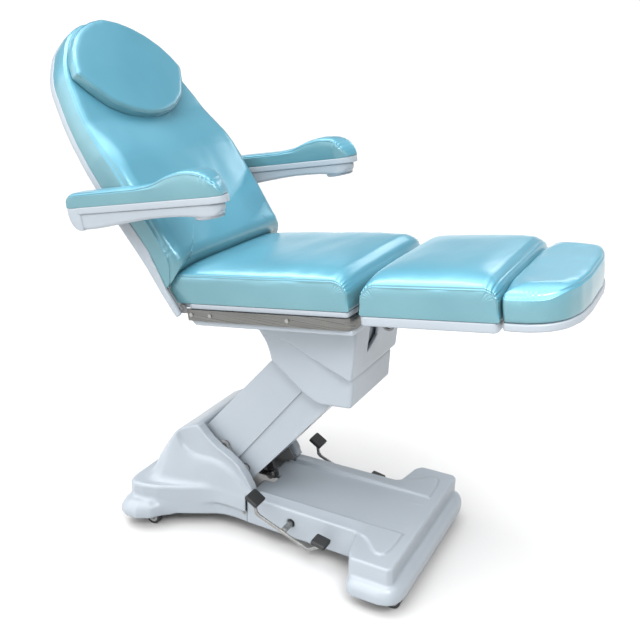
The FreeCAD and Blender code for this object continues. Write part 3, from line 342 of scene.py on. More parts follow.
def box_cushion(name, profile, r, half, roll, drop, put, body, node_name, y0=0.0, gathers=(), bulge=3.5, crown=2.0,
                count=280, seed=1, cross_seams=(), edge=34.0, soft=1.3, spine_in=None, long=None, bend=None):
    """A box cushion: the top panel wraps over both ends, D-shaped panels close the sides along a gathered seam."""
    rounded = fillet(profile, r)
    w0, w1 = rounded[:, 1].min(), rounded[:, 1].max()

    def dense(p):
        d = np.ones(len(p))
        for (gu, gw), reach, _, _ in gathers:
            d += 2.6 * np.exp(-((p[:, 0] - gu) ** 2 + (p[:, 1] - gw) ** 2) / (reach * 1.2) ** 2)
        return d
    loop = resample(rounded, count, dense)
    inn = inward(loop)
    run = arcs(loop)
    wt = smooth(w0 + 3, w0 + edge, loop[:, 1])
    up = smooth(w0 + 0.45 * (w1 - w0), w1 - 4, loop[:, 1])
    pucker = np.zeros((len(gathers), len(loop)))
    for g, ((gu, gw), reach, length, amount) in enumerate(gathers):
        i = int(np.argmin((loop[:, 0] - gu) ** 2 + (loop[:, 1] - gw) ** 2))
        s = run - run[i]
        total = run[-1]
        s = (s + total / 2) % total - total / 2
        irregular = 1 + 0.35 * np.sin(s / length * 2.3 + seed + g)
        pucker[g] = amount * np.exp(-(s / reach) ** 4) * np.cos(2 * math.pi * s / length + 0.8 * np.sin(s / length * 1.7 + g)) * irregular
    pucker = pucker.sum(0) if len(gathers) else np.zeros(len(loop))
    from_seam = [0, 0.8, 1.8, 3.2, 5.2, 8, 11.5, 16, 21.5, 28, 36, 46, 58, 72, 90]
    ends = [d for d in from_seam if d < half - 8]
    mid = np.linspace(-(half - ends[-1]), half - ends[-1], max(3, int((half - ends[-1]) / 13)))[1:-1]
    ys = [-(half - d) for d in ends] + list(mid) + [half - d for d in reversed(ends)]
    rows, disp = [], []
    inn = inn * np.array((0.4, 1.0))
    um, hu = 0.5 * (loop[:, 0].min() + loop[:, 0].max()), 0.5 * (loop[:, 0].max() - loop[:, 0].min())
    along = np.clip(1 - np.abs((loop[:, 0] - um) / hu) ** 4, 0, 1)
    for y in ys:
        t = min(max((abs(y) - (half - roll)) / roll, 0.0), 1.0)
        away = half - abs(y)
        ins = drop * (1 - math.sqrt(max(0.0, 1 - t * t)))
        q = loop + inn * (ins * wt)[:, None]
        lift = crown * (1 - abs(y / half) ** 5) * along
        rows.append(np.stack([q[:, 0], np.full(len(q), y0 + y), q[:, 1] + lift * up], 1))
        disp.append(pucker * math.exp(-away / 15.0) - 2.2 * wt * math.exp(-(away / 1.7) ** 2) + (0.0 * up))
    ny, m = len(ys), len(loop)
    verts, moves = [np.vstack(rows)], [np.concatenate(disp)]
    level, facing = [np.zeros(ny * m)], [np.zeros((ny * m, 3))]
    faces = [grid_quads(ny, m)]
    base = ny * m
    umin, umax = loop[:, 0].min(), loop[:, 0].max()
    inset = spine_in if spine_in is not None else 0.52 * (w1 - w0)
    wmid = 0.5 * (w0 + w1) - 4
    ts = [0.014, 0.03, 0.05, 0.08, 0.12, 0.17, 0.24, 0.32, 0.42, 0.54, 0.67, 0.82, 1.0]
    for side, ring in ((-1, rows[0]), (1, rows[-1])):
        su = np.clip(ring[:, 0], umin + inset, umax - inset)
        sp = np.stack([su, ring[:, 1], np.interp(su, [umin, umax], [wmid, wmid])], 1)
        reach = np.linalg.norm(sp - ring, axis=1)
        panel, move = [ring], []
        for t in ts:
            p = ring + (sp - ring) * t
            p[:, 1] += side * bulge * (1 - (1 - t) ** 2.4)
            panel.append(p)
            depth = reach * t
            move.append(pucker * 0.8 * np.exp(-depth / 11.0) - 1.2 * wt * np.exp(-(depth / 1.8) ** 2))
            level.append(np.full(m, float(smooth(0.04, 0.16, t))))
            facing.append(np.tile((0.0, float(side), 0.0), (m, 1)))
        verts.append(np.vstack(panel[1:]))
        moves.append(np.concatenate(move))
        q = grid_quads(len(ts), m, base)
        first = (0 if side < 0 else (ny - 1) * m) + np.arange(m)
        link = np.stack([first, np.roll(first, -1), base + np.roll(np.arange(m), -1), base + np.arange(m)], 1)
        faces += [q, link]
        base += len(ts) * m
    v = np.vstack(verts)
    f = np.vstack(faces)
    n = vertex_normals(v, f)
    centre = v.mean(0)
    if np.sum(n * (v - centre)) < 0:
        n = -n
    lv = np.concatenate(level)[:, None]
    n = n * (1 - lv) + np.vstack(facing) * lv
    mv = np.concatenate(moves)
    live = smooth(w0 + 2, w0 + 30, v[:, 2])
    stretch = long if long is not None else (1.0, 0.6, 1.0)
    mv = mv + soft * wavy(v * np.array(stretch), 85.0, seed) * live + 0.45 * soft * wavy(v, 34.0, seed + 5) * live
    for (cu, cw), depth in cross_seams:
        i = int(np.argmin((loop[:, 0] - cu) ** 2 + (loop[:, 1] - cw) ** 2))
        s = np.abs((run - run[i] + run[-1] / 2) % run[-1] - run[-1] / 2)
        groove = -depth * np.exp(-(s / 2.2) ** 2)
        mv[:ny * m] += np.tile(groove, ny)
    v = v + n * mv[:, None]
    if bend is not None:
        v = bend(v)
    o = make(name, put(v), f, body, BLUE, (node_name,))
    return o


def ring_cushion(name, outline, spine, base_at, seam_at, roll_of, lift_of, crown, put, body, node_name, seed=1,
                 bulge=3.0, gathers=(), soft=1.2, warp=None, groove=2.2, second=None):
    """A cushion with a band all round: the band rises to a seam, the top panel rolls over from it and is crowned."""
    m = len(outline)
    sp = np.stack([np.clip(outline[:, 0], spine[0], spine[1]), np.zeros(m)], 1)
    way = sp - outline
    dist = np.linalg.norm(way, axis=1)
    unit = way / dist[:, None]
    lo, hi = base_at(outline), seam_at(outline)
    rl = roll_of(outline)
    run = arcs(outline)
    pucker = np.zeros(m)
    for (ga, gy), reach, length, amount in gathers:
        i = int(np.argmin((outline[:, 0] - ga) ** 2 + (outline[:, 1] - gy) ** 2))
        s = run - run[i]
        s = (s + run[-1] / 2) % run[-1] - run[-1] / 2
        pucker += amount * np.exp(-(s / reach) ** 4) * np.cos(2 * math.pi * s / length + 0.9 * np.sin(s / length * 1.3)) * (1 + 0.3 * np.sin(s / 17.0))
    rows, disp = [], []

    def add(inset, h, move):
        p = outline + unit * np.reshape(inset, (-1, 1)) * np.ones((m, 1))
        rows.append(np.stack([p[:, 0], p[:, 1], h * np.ones(m)], 1))
        disp.append(move * np.ones(m))
    add(7.0, lo, 0.0)
    add(2.5, lo + 0.6, 0.0)
    add(0.6, lo + 2.6, 0.0)
    for t in np.linspace(0.08, 0.97, 13):
        h = lo + (hi - lo) * t
        near = (hi - lo) * (1 - t)
        add(-bulge * math.sin(math.pi * min(1.0, t * 0.98)) ** 0.8, h, 0.7 * pucker * np.exp(-near / 11.0))
    for away in (3.0, 1.6, 0.7):
        add(0.0, hi - away, 0.8 * pucker - groove * 0.6 * math.exp(-(away / 1.5) ** 2))
    add(0.0, hi, 0.9 * pucker - groove)
    reach = dist.max()

    def height(p):
        d = edge_distance(p, outline)
        a = np.clip(d / roll_of(p), 0.0, 1.0)
        return seam_at(p) + lift_of(p) * (1 - (1 - a) ** 2.2) ** 0.62 + crown * (1 - (1 - np.clip(d / reach, 0, 1)) ** 2)

    for away in (0.05, 0.1, 0.17, 0.25, 0.34, 0.44, 0.55, 0.66, 0.78, 0.9, 1.0):
        g = np.exp(-((rl * away) / 2.0) ** 2)
        second_line = 0.0 if second is None else -second[1] * np.exp(-((rl * away - second[0]) / 1.6) ** 2)
        add(rl * away, height(outline + unit * (rl * away)[:, None]), pucker * np.exp(-rl * away / 15.0) - groove * 0.7 * g + second_line)
    f0 = rl / dist
    for t in np.concatenate([np.linspace(0.03, 0.2, 4), np.linspace(0.27, 1.0, 14)]):
        p = outline + way * (f0 + (1 - f0) * t)[:, None]
        rows.append(np.stack([p[:, 0], p[:, 1], height(p)], 1))
        disp.append(np.zeros(m))
    v = np.vstack(rows)
    f = grid_quads(len(rows), m)
    n = vertex_normals(v, f)
    if np.sum(n[:, 2] * (v[:, 2] - v[:, 2].mean())) < 0:
        n = -n
    n[-17 * m:] = (0.0, 0.0, 1.0)
    mv = np.concatenate(disp)
    live = np.repeat(np.clip(np.arange(len(rows)) / 8.0, 0, 1), m)
    mv = mv + (soft * wavy(v * np.array((0.7, 1.0, 1.0)), 95.0, seed) + 0.4 * soft * wavy(v, 38.0, seed + 3)) * live
    v = v + n * mv[:, None]
    if warp is not None:
        v = warp(v)
    faces = [list(q) for q in f] + [list(range(m))]
    o = make(name, put(v), faces, body, BLUE, (node_name,))
    return o


def cushions():
    box_cushion("seat_cushion_cover",
                [(-314, 2), (-319, 40), (-304, 76), (-266, 97), (234, 98), (260, 84), (271, 55), (270, 2)],
                [6, 60, 48, 60, 46, 40, 60, 6], 267.0, 70.0, 15.0, SEAT, "seat", "seat_cushion",
                gathers=[((-298, 78), 36.0, 12.0, 1.1), ((258, 82), 34.0, 11.5, 1.2)], seed=2, crown=18.0)
    box_cushion("leg_cushion_cover",
                [(27, 2), (24, 45), (34, 74), (60, 98), (358, 99), (384, 86), (393, 55), (391, 2)],
                [6, 60, 44, 46, 24, 24, 60, 6], 266.0, 70.0, 17.0, LEG, "leg", "leg_cushion",
                gathers=[((38, 78), 34.0, 12.0, 1.1), ((380, 84), 32.0, 11.5, 1.2)], seed=4, crown=19.0,
                cross_seams=[((379, 90), 2.0)])

    foot = fillet(mirrored([(397, 261), (452, 262), (496, 251), (536, 218), (557, 158), (565, 80)]),
                  [14, 90, 110, 110, 120, 160, 160, 120, 110, 110, 90, 14])
    foot = resample(foot, 420)

    def side_share(o):
        return smooth(140, 240, np.abs(o[:, 1])) * (1 - smooth(490, 550, o[:, 0]))

    ring_cushion("foot_cushion_cover", foot, (462, 502), lambda o: 2.0 + 0 * o[:, 0], lambda o: 78 - 14 * side_share(o),
                 lambda o: 26 + 46 * side_share(o), lambda o: 9 + 17 * side_share(o), 3.0, LEG, "foot", "foot_cushion", seed=6,
                 gathers=[((455, 260), 40.0, 12.0, 0.7), ((455, -260), 40.0, 12.0, 0.7)], bulge=5.0)

    back = fillet(mirrored([(112, 252), (106, 274), (91, 284), (91, 290), (172, 290), (235, 292), (300, 296), (400, 300), (500, 298), (580, 290), (650, 277),
                            (718, 258), (767, 243), (805, 219), (835, 195), (869, 165), (912, 111), (934, 50)]),
                  [30, 16, 3, 3] + [160] * 28 + [3, 3, 16, 30])
    back = resample(back, 460)
    back[:, 1] *= (291.5 / 294.5)

    def back_base(o):
        return 21 + 19 * (1 - smooth(290, 440, o[:, 0])) - 17 * (1 - smooth(112, 190, o[:, 0])) - 10

    def back_seam(o):
        return np.interp(o[:, 0], [88, 100, 118, 140, 165, 205, 260, 450, 600, 950], [28, 46, 62, 78, 87, 92, 96, 96, 83, 83])

    def back_warp(v):
        low = 1 - smooth(112, 300, v[:, 0])
        v = v.copy()
        v[:, 0] -= np.clip(v[:, 2] - 60, 0, 60) * 0.20 * low
        return v

    ring_cushion("back_cushion_cover", back, (360, 700), back_base, back_seam,
                 lambda o: 30 + 13 * (1 - smooth(470, 620, o[:, 0])), lambda o: 4.5 + 20.5 * (1 - smooth(470, 620, o[:, 0])) + 12 * (1 - smooth(112, 220, o[:, 0])),
                 3.0, BACK, "back", "back_cushion", seed=8,
                 gathers=[((150, 289), 46.0, 16.0, 1.0), ((150, -289), 46.0, 16.0, 1.0)], warp=back_warp, second=(6.0, 0.9))

    pillow = fillet(mirrored([(926, 0.0), (915, 60), (894, 112), (866, 155), (826, 196), (782, 224), (742, 239), (692, 207), (640, 163),
                              (607, 104), (592, 46), (588, 0.0)]),
                    [90] * 6 + [8] + [90] * 9 + [8] + [90] * 5)
    pillow = resample(pillow, 420)
    ring_cushion("pillow_cover", pillow, (710, 800), lambda o: 89 + 0 * o[:, 0], lambda o: 117 + 0 * o[:, 0],
                 lambda o: 20 + 0 * o[:, 0], lambda o: 5 + 0 * o[:, 0], 3.5, BACK, "pillow", "pillow", seed=11, bulge=1.5,
                 soft=1.0, second=(5.0, 0.7))

    for side, word in ((1, "left"), (-1, "right")):
        yc = side * 368.0

        def nose(v, yc=yc, side=side):
            v = v.copy()
            v[:, 1] = yc + (v[:, 1] - yc) * np.sqrt(1 - np.clip((v[:, 0] - 404) / 72.5, 0, 0.985) ** 2.6)
            v[:, 0] -= 0.28 * (42 - side * (v[:, 1] - yc)) * smooth(390, 470, v[:, 0])
            return v

        box_cushion("armrest_pad_cover_" + word,
                    [(-56, 19.5), (-56, 42), (-44, 59), (60, 60), (192, 60), (255, 66), (306, 82), (360, 91), (402, 86), (436, 72), (462, 46), (471, 19.5)],
                    [3, 16, 24, 120, 160, 140, 140, 140, 90, 90, 60, 3], 40.5, 24.0, 7.5, ARM, "arm_" + word, "armrest_pad_" + word,
                    y0=yc, gathers=[((430, 70), 36.0, 15.0, 1.0)], bulge=2.4, crown=1.0, seed=13 + side, edge=20.0, soft=0.8,
                    spine_in=30.0, count=300, bend=nose)


cushions()


# ---------------------------------------------------------------- moulded shells from rounded plates and lofts
def plate_mesh(outline, z0, z1, r, rear=None):
    inn = inward(outline)
    m = len(outline)
    rows = []
    for ins, h in ((1.0, 0.0), (0.62, 0.08), (0.29, 0.29), (0.08, 0.62), (0.0, 1.0)):
        rows.append((ins * r, z0 + h * r))
    for ins, h in ((0.0, 1.0), (0.08, 0.62), (0.29, 0.29), (0.62, 0.08), (1.0, 0.0)):
        rows.append((ins * r, z1 - h * r))
    v = np.vstack([np.column_stack([outline + inn * i, z * np.ones(m)]) for i, z in rows])
    f = [list(q) for q in grid_quads(len(rows), m)] + [list(range(m)), list(range((len(rows) - 1) * m, len(rows) * m))]
    return v, f


def loft_mesh(stations, n=8):
    """Rounded rectangles (u, centre y, half width, low w, high w, corner radius) joined along u."""
    rows = []
    for u, cy, hy, w0, w1, r in stations:
        hw, cw = 0.5 * (w1 - w0), 0.5 * (w1 + w0)
        r = min(r, hy * 0.98, hw * 0.98)
        ring = []
        for sy, sw, a0 in ((1, 1, 0), (-1, 1, 90), (-1, -1, 180), (1, -1, 270)):
            for k in range(n + 1):
                a = math.radians(a0 + 90 * k / n)
                ring.append((u, cy + sy * (hy - r) + r * math.cos(a), cw + sw * (hw - r) + r * math.sin(a)))
        rows.append(ring)
    m = len(rows[0])
    v = np.array(rows).reshape(-1, 3)
    f = [list(q) for q in grid_quads(len(rows), m)] + [list(range(m)), list(range((len(rows) - 1) * m, len(rows) * m))]
    return v, f


def joined(meshes):
    vs, fs, n = [], [], 0
    for v, f in meshes:
        vs.append(v)
        fs += [[i + n for i in q] for q in f]
        n += len(v)
    return np.vstack(vs), fs


def rect(a0, a1, y, r, n=240):
    return resample(fillet([(a0, -y), (a1, -y), (a1, y), (a0, y)], r), n)


def shells():
    tray = resample(fillet(mirrored([(-312, 254), (-250, 255), (-243, 266), (266, 266)]), [10, 12, 12, 10, 10, 12, 12, 10]), 320)
    v, f = plate_mesh(tray, -15.0, 0.6, 3.0)
    make("seat_tray_edge", SEAT(v), f, "seat", WHITE, ("seat_tray",))

    v, f = plate_mesh(rect(26, 386, 266, 14), -25.0, 0.8, 4.0)
    bumps = []
    for y in (-236.0, -150.0, 150.0, 236.0):
        bumps.append(loft_mesh([(338 + k, y, hy, -27.5 - d, -20, 2.5) for k, hy, d in ((0, 10, -3), (3, 15, 0), (22, 17, 0), (40, 15, 0), (43, 10, -3))]))
    v, f = joined([(v, f)] + bumps)
    make("leg_tray", LEG(v), f, "leg", WHITE, ("leg_shell",))

    foot = resample(fillet(mirrored([(395, 262), (453, 264), (498, 253), (538, 220), (560, 159), (568, 80)]),
                           [12, 90, 110, 110, 120, 160, 160, 120, 110, 110, 90, 12]), 360)
    v, f = plate_mesh(foot, -19.0, 1.0, 4.5)
    make("foot_tray", LEG(v), f, "foot", WHITE, ("foot_shell",))

    # back shell: outer wall that deepens towards the hinge, domed rear face with a shallow border line
    half = [(142, 291), (172, 291), (235, 293), (300, 297), (400, 300.5), (500, 298.5), (580, 290.5), (650, 277.5),
            (718, 258.5), (767, 243.5), (805, 219.5), (835, 195.5), (869, 165.5), (912, 111.5), (934, 50)]
    o = resample(fillet(mirrored(half), [10, 60] + [160] * 26 + [60, 10]), 420)
    inn = inward(o)
    m = len(o)
    sp = np.stack([np.clip(o[:, 0], 380, 690), np.zeros(m)], 1)
    way = sp - o
    dist = np.linalg.norm(way, axis=1)
    unit = way / dist[:, None]
    rise = 20 + 19 * (1 - smooth(290, 440, o[:, 0])) - 12 * (1 - smooth(142, 215, o[:, 0]))
    rows = []

    def add(p, h):
        rows.append(np.column_stack([p, h * np.ones(m)]))
    for ins, dz in ((9.0, -5.0), (5.0, -1.0), (3.4, 0.4), (1.8, 0.6), (0.5, 0.0), (0.0, -1.6)):
        add(o + inn * ins, rise + dz)
    for t in (0.7, 0.45, 0.25):
        add(o, rise * t + 3.0)
    for ins, h in ((0.6, 2.2), (2.6, -0.6), (6.0, -2.2), (11.0, -3.0)):
        add(o + unit * ins, h)
    for ins, h in ((26, -4.2), (30, -4.4), (31.5, -3.0), (34, -2.9), (35.5, -4.6), (40, -5.0)):
        add(o + unit * ins, h)
    f0 = 40 / dist
    for t in np.linspace(0.08, 1.0, 12):
        add(o + way * (f0 + (1 - f0) * t)[:, None], -5.0 - 5.5 * (1 - (1 - t) ** 2))
    v = np.vstack(rows)
    f = [list(q) for q in grid_quads(len(rows), m)]
    parts = [(v, f)]
    for s in (-1, 1):
        parts.append(loft_mesh([(u, s * cy, hy, n0, n1, 4.0) for u, cy, hy, n0, n1 in (
            (4, 289.5, 4.0, 4, 15), (6, 289.5, 5.4, 1.5, 18), (10, 289.5, 6.4, 0, 20), (85, 289.5, 6.4, 0, 21), (118, 288.6, 5.6, 0, 26),
            (150, 288.2, 5.0, 0, 30), (190, 287.6, 4.2, 2, 34), (196, 287.4, 3.0, 4, 32))]))
    v, f = joined(parts)
    make("back_shell_moulding", BACK(v), f, "back", WHITE, ("back_shell",))

    # armrest shells: lip, rear block, recessed tub and the round cap below the front end
    low = ([-30, 11, 60, 134, 180, 232, 290, 341, 371, 400, 430, 450, 465, 475], [-42, -45, -41, -34, -30, -26, -25.5, -27, -30, -33, -33, -29, -20, -8])
    for side, word in ((1, "left"), (-1, "right")):
        yc = side * 368.0
        lip = []
        for u in [-20, -18, -12] + list(np.linspace(20, 400, 12)) + [418, 432, 444, 454, 462, 468, 472, 474.6]:
            hy = 42.0 * (1 - max(0.0, (u - 404) / 71.5) ** 2.6) ** 0.5 if u > 404 else 42.0
            lip.append((u, yc, max(hy, 6.0), 0.4, 19.2, 3.2))
        tub = []
        for u in [-20, -16] + list(np.linspace(0, 396, 16)) + [410, 424, 436, 446, 454, 460]:
            hy = 37.0 * (1 - max(0.0, (u - 390) / 71.0) ** 2.6) ** 0.5 if u > 390 else 37.0
            w0 = float(np.interp(u, *low))
            ease = 0.0 if u < 436 else 0.35 * (u - 436)
            tub.append((u, yc, max(hy, 6.0), w0 + ease, 4.0, 9.0))
        block = []
        for u, w0, w1, k in ((-56, 4, 17, 0.93), (-55, -4, 18.6, 0.965), (-52, -15, 19.2, 0.99), (-48, -24.5, 19.2, 1), (-43, -33, 19.2, 1),
                             (-36, -40.0, 19.2, 1), (-26, -44.0, 19.2, 1), (-18, -45.6, 19.0, 0.99), (-13, -44.8, 18.4, 0.96), (-11, -42, 18, 0.92)):
            block.append((u, yc, 42.0 * k, w0, w1, 4.5))
        cap_outline = np.stack([404 + 50 * np.cos(np.linspace(0, 2 * math.pi, 96, endpoint=False)),
                                yc + 32.5 * np.sin(np.linspace(0, 2 * math.pi, 96, endpoint=False))], 1)
        cv, cf = plate_mesh(cap_outline, -42.0, -14.0, 9.0)
        cv[:, 2] += np.where(cv[:, 2] < -33, 0.06 * (cv[:, 0] - 404) + 2.5, 0.0)
        v, f = joined([loft_mesh(lip), loft_mesh(tub), loft_mesh(block), (cv, cf)])
        v[:, 0] -= 0.28 * (42 - side * (v[:, 1] - yc)) * smooth(390, 470, v[:, 0])
        make("armrest_shell_moulding_" + word, ARM(v), f, "arm_" + word, WHITE, ("armrest_shell_" + word,))


shells()


# ---------------------------------------------------------------- moulded covers as smooth implicit surfaces
def poly_sd(px, py, poly):
    p = np.asarray(poly, float)
    d = np.full(px.shape, 1e18)
    inside = np.zeros(px.shape, bool)
    for i in range(len(p)):
        a, b = p[i], p[i - 1]
        ex, ey = b[0] - a[0], b[1] - a[1]
        wx, wy = px - a[0], py - a[1]
        t = np.clip((wx * ex + wy * ey) / (ex * ex + ey * ey), 0, 1)
        dx, dy = wx - ex * t, wy - ey * t
        d = np.minimum(d, dx * dx + dy * dy)
        c = ((a[1] <= py) & (b[1] > py) & (ex * wy - ey * wx < 0)) | ((a[1] > py) & (b[1] <= py) & (ex * wy - ey * wx > 0))
        c1 = (py >= a[1]) & (py < b[1]) & (ex * wy > ey * wx)
        c2 = (py < a[1]) & (py >= b[1]) & (ex * wy < ey * wx)
        inside ^= (c1 | c2)
    return np.where(inside, -1.0, 1.0) * np.sqrt(d)


def both_round(a, b, r):
    """Intersection of two distances with a rounded edge."""
    return np.minimum(np.maximum(a + r, b + r), 0.0) + np.hypot(np.maximum(a + r, 0.0), np.maximum(b + r, 0.0)) - r


def smin(a, b, k):
    h = np.clip(0.5 + 0.5 * (b - a) / k, 0, 1)
    return b * (1 - h) + a * h - k * h * (1 - h)


def smax(a, b, k):
    return -smin(-a, -b, k)


def surface(f, lo, hi, h):
    """Quads on the zero level of f, by surface nets, with the points moved onto the level."""
    ax = [np.arange(lo[k], hi[k] + h, h) for k in range(3)]
    X, Y, Z = np.meshgrid(*ax, indexing="ij")
    V = f(X, Y, Z)
    ins = V < 0
    nx, ny, nz = V.shape
    total = np.zeros((nx - 1, ny - 1, nz - 1, 3))
    count = np.zeros((nx - 1, ny - 1, nz - 1))
    crossings = []
    for k in range(3):
        a = [slice(None)] * 3
        b = [slice(None)] * 3
        a[k], b[k] = slice(None, -1), slice(1, None)
        va, vb = V[tuple(a)], V[tuple(b)]
        hit = ins[tuple(a)] != ins[tuple(b)]
        t = np.where(hit, va / np.where(hit, va - vb, 1.0), 0.0)
        pos = np.stack([g[tuple(a)] for g in (X, Y, Z)], -1)
        pos[..., k] += t * h
        o1, o2 = [q for q in range(3) if q != k]
        for d1 in (0, 1):
            for d2 in (0, 1):
                src, dst = [slice(None)] * 3, [slice(None)] * 3
                for o, dd in ((o1, d1), (o2, d2)):
                    size = V.shape[o]
                    src[o] = slice(dd, size - 1 + dd)
                    dst[o] = slice(0, size - 1)
                m = hit[tuple(src)]
                total[tuple(dst)] += pos[tuple(src)] * m[..., None]
                count[tuple(dst)] += m
        crossings.append((hit, ins[tuple(a)]))
    live = count > 0
    index = np.full(live.shape, -1, np.int64)
    index[live] = np.arange(int(live.sum()))
    p = total[live] / count[live][:, None]
    quads = []
    for k, (hit, start) in enumerate(crossings):
        o1, o2 = [(1, 2), (2, 0), (0, 1)][k]
        keep = hit.copy()
        for o in (o1, o2):
            s = [slice(None)] * 3
            s[o] = 0
            keep[tuple(s)] = False
            s[o] = -1
            keep[tuple(s)] = False
        ijk = np.argwhere(keep)
        forward = start[keep]
        corner = []
        for d1, d2 in ((1, 1), (0, 1), (0, 0), (1, 0)):
            c = ijk.copy()
            c[:, o1] -= d1
            c[:, o2] -= d2
            corner.append(index[c[:, 0], c[:, 1], c[:, 2]])
        q = np.stack(corner, 1)
        q[~forward] = q[~forward][:, ::-1]
        quads.append(q)
    q = np.vstack(quads)

    def slope(p, e=0.4):
        g = np.zeros_like(p)
        for k in range(3):
            u, w = p.copy(), p.copy()
            u[:, k] += e
            w[:, k] -= e
            g[:, k] = (f(*u.T) - f(*w.T)) / (2 * e)
        return g
    for _ in range(4):
        val = f(*p.T)
        g = slope(p)
        step = g * (val / np.maximum((g * g).sum(1), 0.05))[:, None]
        size = np.linalg.norm(step, axis=1)
        p = p - step * np.minimum(1.0, 0.6 * h / np.maximum(size, 1e-9))[:, None]
    return p, q, slope(p)


def shell_piece(name, p, q, drop_face, thick, body, mat, stands_for):
    c = p[q].mean(1)
    n = np.cross(p[q[:, 2]] - p[q[:, 0]], p[q[:, 3]] - p[q[:, 1]])
    n = n / np.maximum(np.linalg.norm(n, axis=1), 1e-9)[:, None]
    if drop_face is not None:
        q = q[~drop_face(c, n)]
    used = np.unique(q)
    at = np.full(len(p), -1)
    at[used] = np.arange(len(used))
    o = make(name, p[used], at[q], body, mat, stands_for, tidy=False)
    bm = bmesh.new()
    bm.from_mesh(o.data)
    bmesh.ops.remove_doubles(bm, verts=bm.verts, dist=1e-5)
    bmesh.ops.dissolve_degenerate(bm, edges=bm.edges, dist=1e-6)
    loose = [e for e in bm.verts if not e.link_faces]
    bmesh.ops.delete(bm, geom=loose, context="VERTS")
    bm.to_mesh(o.data)
    bm.free()
    o.data.polygons.foreach_set("use_smooth", [True] * len(o.data.polygons))
    if thick:
        # The inner walls and rims of the shell take the near-black painted-shade material.
        o.data.materials.append(INSIDE_SHADE)
        s = o.modifiers.new("wall", "SOLIDIFY")
        s.thickness = thick * 0.001
        s.offset = -1.0
        s.material_offset = 1
    return o


HOOD = [(-512, 100), (-506, 145), (-480, 215), (-452, 268), (-423, 302), (-386, 333), (-350, 352), (-324, 363), (-308, 363),
        (-281, 334), (-258, 315), (-236, 300), (-214, 289), (-192, 277), (-172, 263), (-153, 246), (-132, 219), (-114, 188), (-106, 157.5), (-106, 100)]
HOOD_FOOT = ([-520, -500, -477, -441, -379, -306, -234, -147, -100], [196, 210, 217, 214, 197, 175, 166, 165, 165])
RIDGE = ([-520, -420, -402, -392, -373, -352, -332, -300, -263, -232, -205, -178, -153, -127, -100],
         [300, 318, 321, 312, 283, 265, 256, 255, 257, 252, 242, 226, 205, 178, 150])
HOOD_TOP = ([-512, -506, -480, -452, -423, -386, -350, -324, -308, -281, -258, -236, -214, -192, -172, -153, -132, -114, -106],
            [100, 145, 215, 268, 302, 333, 352, 363, 363, 334, 315, 300, 289, 277, 263, 246, 219, 188, 157])
REAR_PLAN = [(-60, -300), (-60, 158), (-131, 157), (-205, 154), (-253, 163), (-341, 208), (-425, 250), (-472, 263), (-506, 265), (-530, 252), (-538, 220), (-538, -300)]
REAR_LOBES = [(-380, -300), (-380, 220), (-402, 252), (-428, 288), (-470, 312), (-512, 312), (-541, 297), (-554, 264), (-554, -300)]


def hood_side(X, Z):
    foot = np.interp(X, *HOOD_FOOT)
    ridge = np.interp(X, *RIDGE)
    top = np.interp(X, *HOOD_TOP)
    y2 = np.interp(X, [-420, -392, -330, -263, -110], [172, 171, 169, 168, 166])
    t = np.clip((Z - 152) / np.maximum(ridge - 152, 8.0), 0, 1)
    room = np.clip((top - ridge) / 30.0, 0, 1)
    wall = foot + (y2 - foot) * t ** 0.75
    wall = wall - 11.0 * room * np.exp(-np.maximum(ridge - Z, 0.0) / 8.0)
    s = np.clip((Z - ridge) / np.maximum(top - ridge, 6.0), 0, 1)
    facet = y2 - room * (11.0 - 9.0 * s ** 1.6) - 2.0 * s
    return np.where(Z > ridge, facet, wall)


def rear_level(X, Y, Z):
    A = np.abs(Y)
    skirt = np.maximum(both_round(poly_sd(X, A, REAR_PLAN), Z - 150.0, 9.0), np.interp(X, [-330, -131], [47.0, 54.0]) - Z)
    lobes = both_round(both_round(poly_sd(X, A, REAR_LOBES), Z - 98.0, 38.0), 44.0 - Z, 9.0)
    d = smin(skirt, lobes, 14.0)
    prof = poly_sd(X, Z, HOOD)
    side = (A - hood_side(X, Z)) * 0.93
    k = 4.5 + 60.0 * (1 - smooth(-450, -385, X))
    hood = smax(prof, side, k)
    d = smin(d, hood, 20.0)
    well = np.maximum(A - 129.0, poly_sd(X, Z, [(-310, 30), (-310, 354), (-302, 430), (-40, 430), (-40, 30)]))
    d = smax(d, -well, 5.0)
    d = np.maximum(d, -np.maximum(-131.6 - X, Z - 157.4))
    inlet = np.maximum(np.abs(Y) - 26.5, np.maximum(np.abs(Z - 121.0) - 16.5, X + 515.0))
    return np.maximum(d, -inlet)


def rear_drop(c, n):
    A = np.abs(c[:, 1])
    down = (n[:, 2] < -0.75) & (c[:, 2] < 58)
    inside = (A < 129.6) & (c[:, 0] > -311.5) & (poly_sd(c[:, 0], c[:, 2], HOOD) < -24)
    low = (A < 129.6) & (c[:, 2] < 140) & (c[:, 0] > -312)
    joint = (c[:, 0] > -133.0) & (n[:, 0] > 0.7) & (c[:, 2] < 150)
    under = (c[:, 0] > -133.0) & (n[:, 2] < -0.7)
    box = (A < 27.5) & (c[:, 0] < -514) & (np.abs(c[:, 2] - 121) < 17.5) & (np.abs(n[:, 0]) < 0.99) & (c[:, 0] > -533)
    back = (A < 27.5) & (np.abs(c[:, 2] - 121) < 17.5) & (c[:, 0] > -520) & (c[:, 0] < -510)
    return down | inside | low | joint | under | box | back


FRONT_PLAN = [(-230, -300), (-230, 160), (-131, 160), (255, 165), (267, 176), (275, 215), (283, 262), (300, 285), (414, 285), (426, 272), (426, -300)]
FRONT_LOW = [(289, -300), (289, 284), (298, 304), (317, 312), (398, 312), (432, 303), (452, 276), (458, 236), (458, -300)]
RAISED = [(-230, 60), (-230, 230), (240, 230), (258, 168), (276, 172), (298, 181), (318, 197), (338, 220), (354, 233), (370, 235),
          (382, 225), (389, 196), (391, 160), (391, 60)]


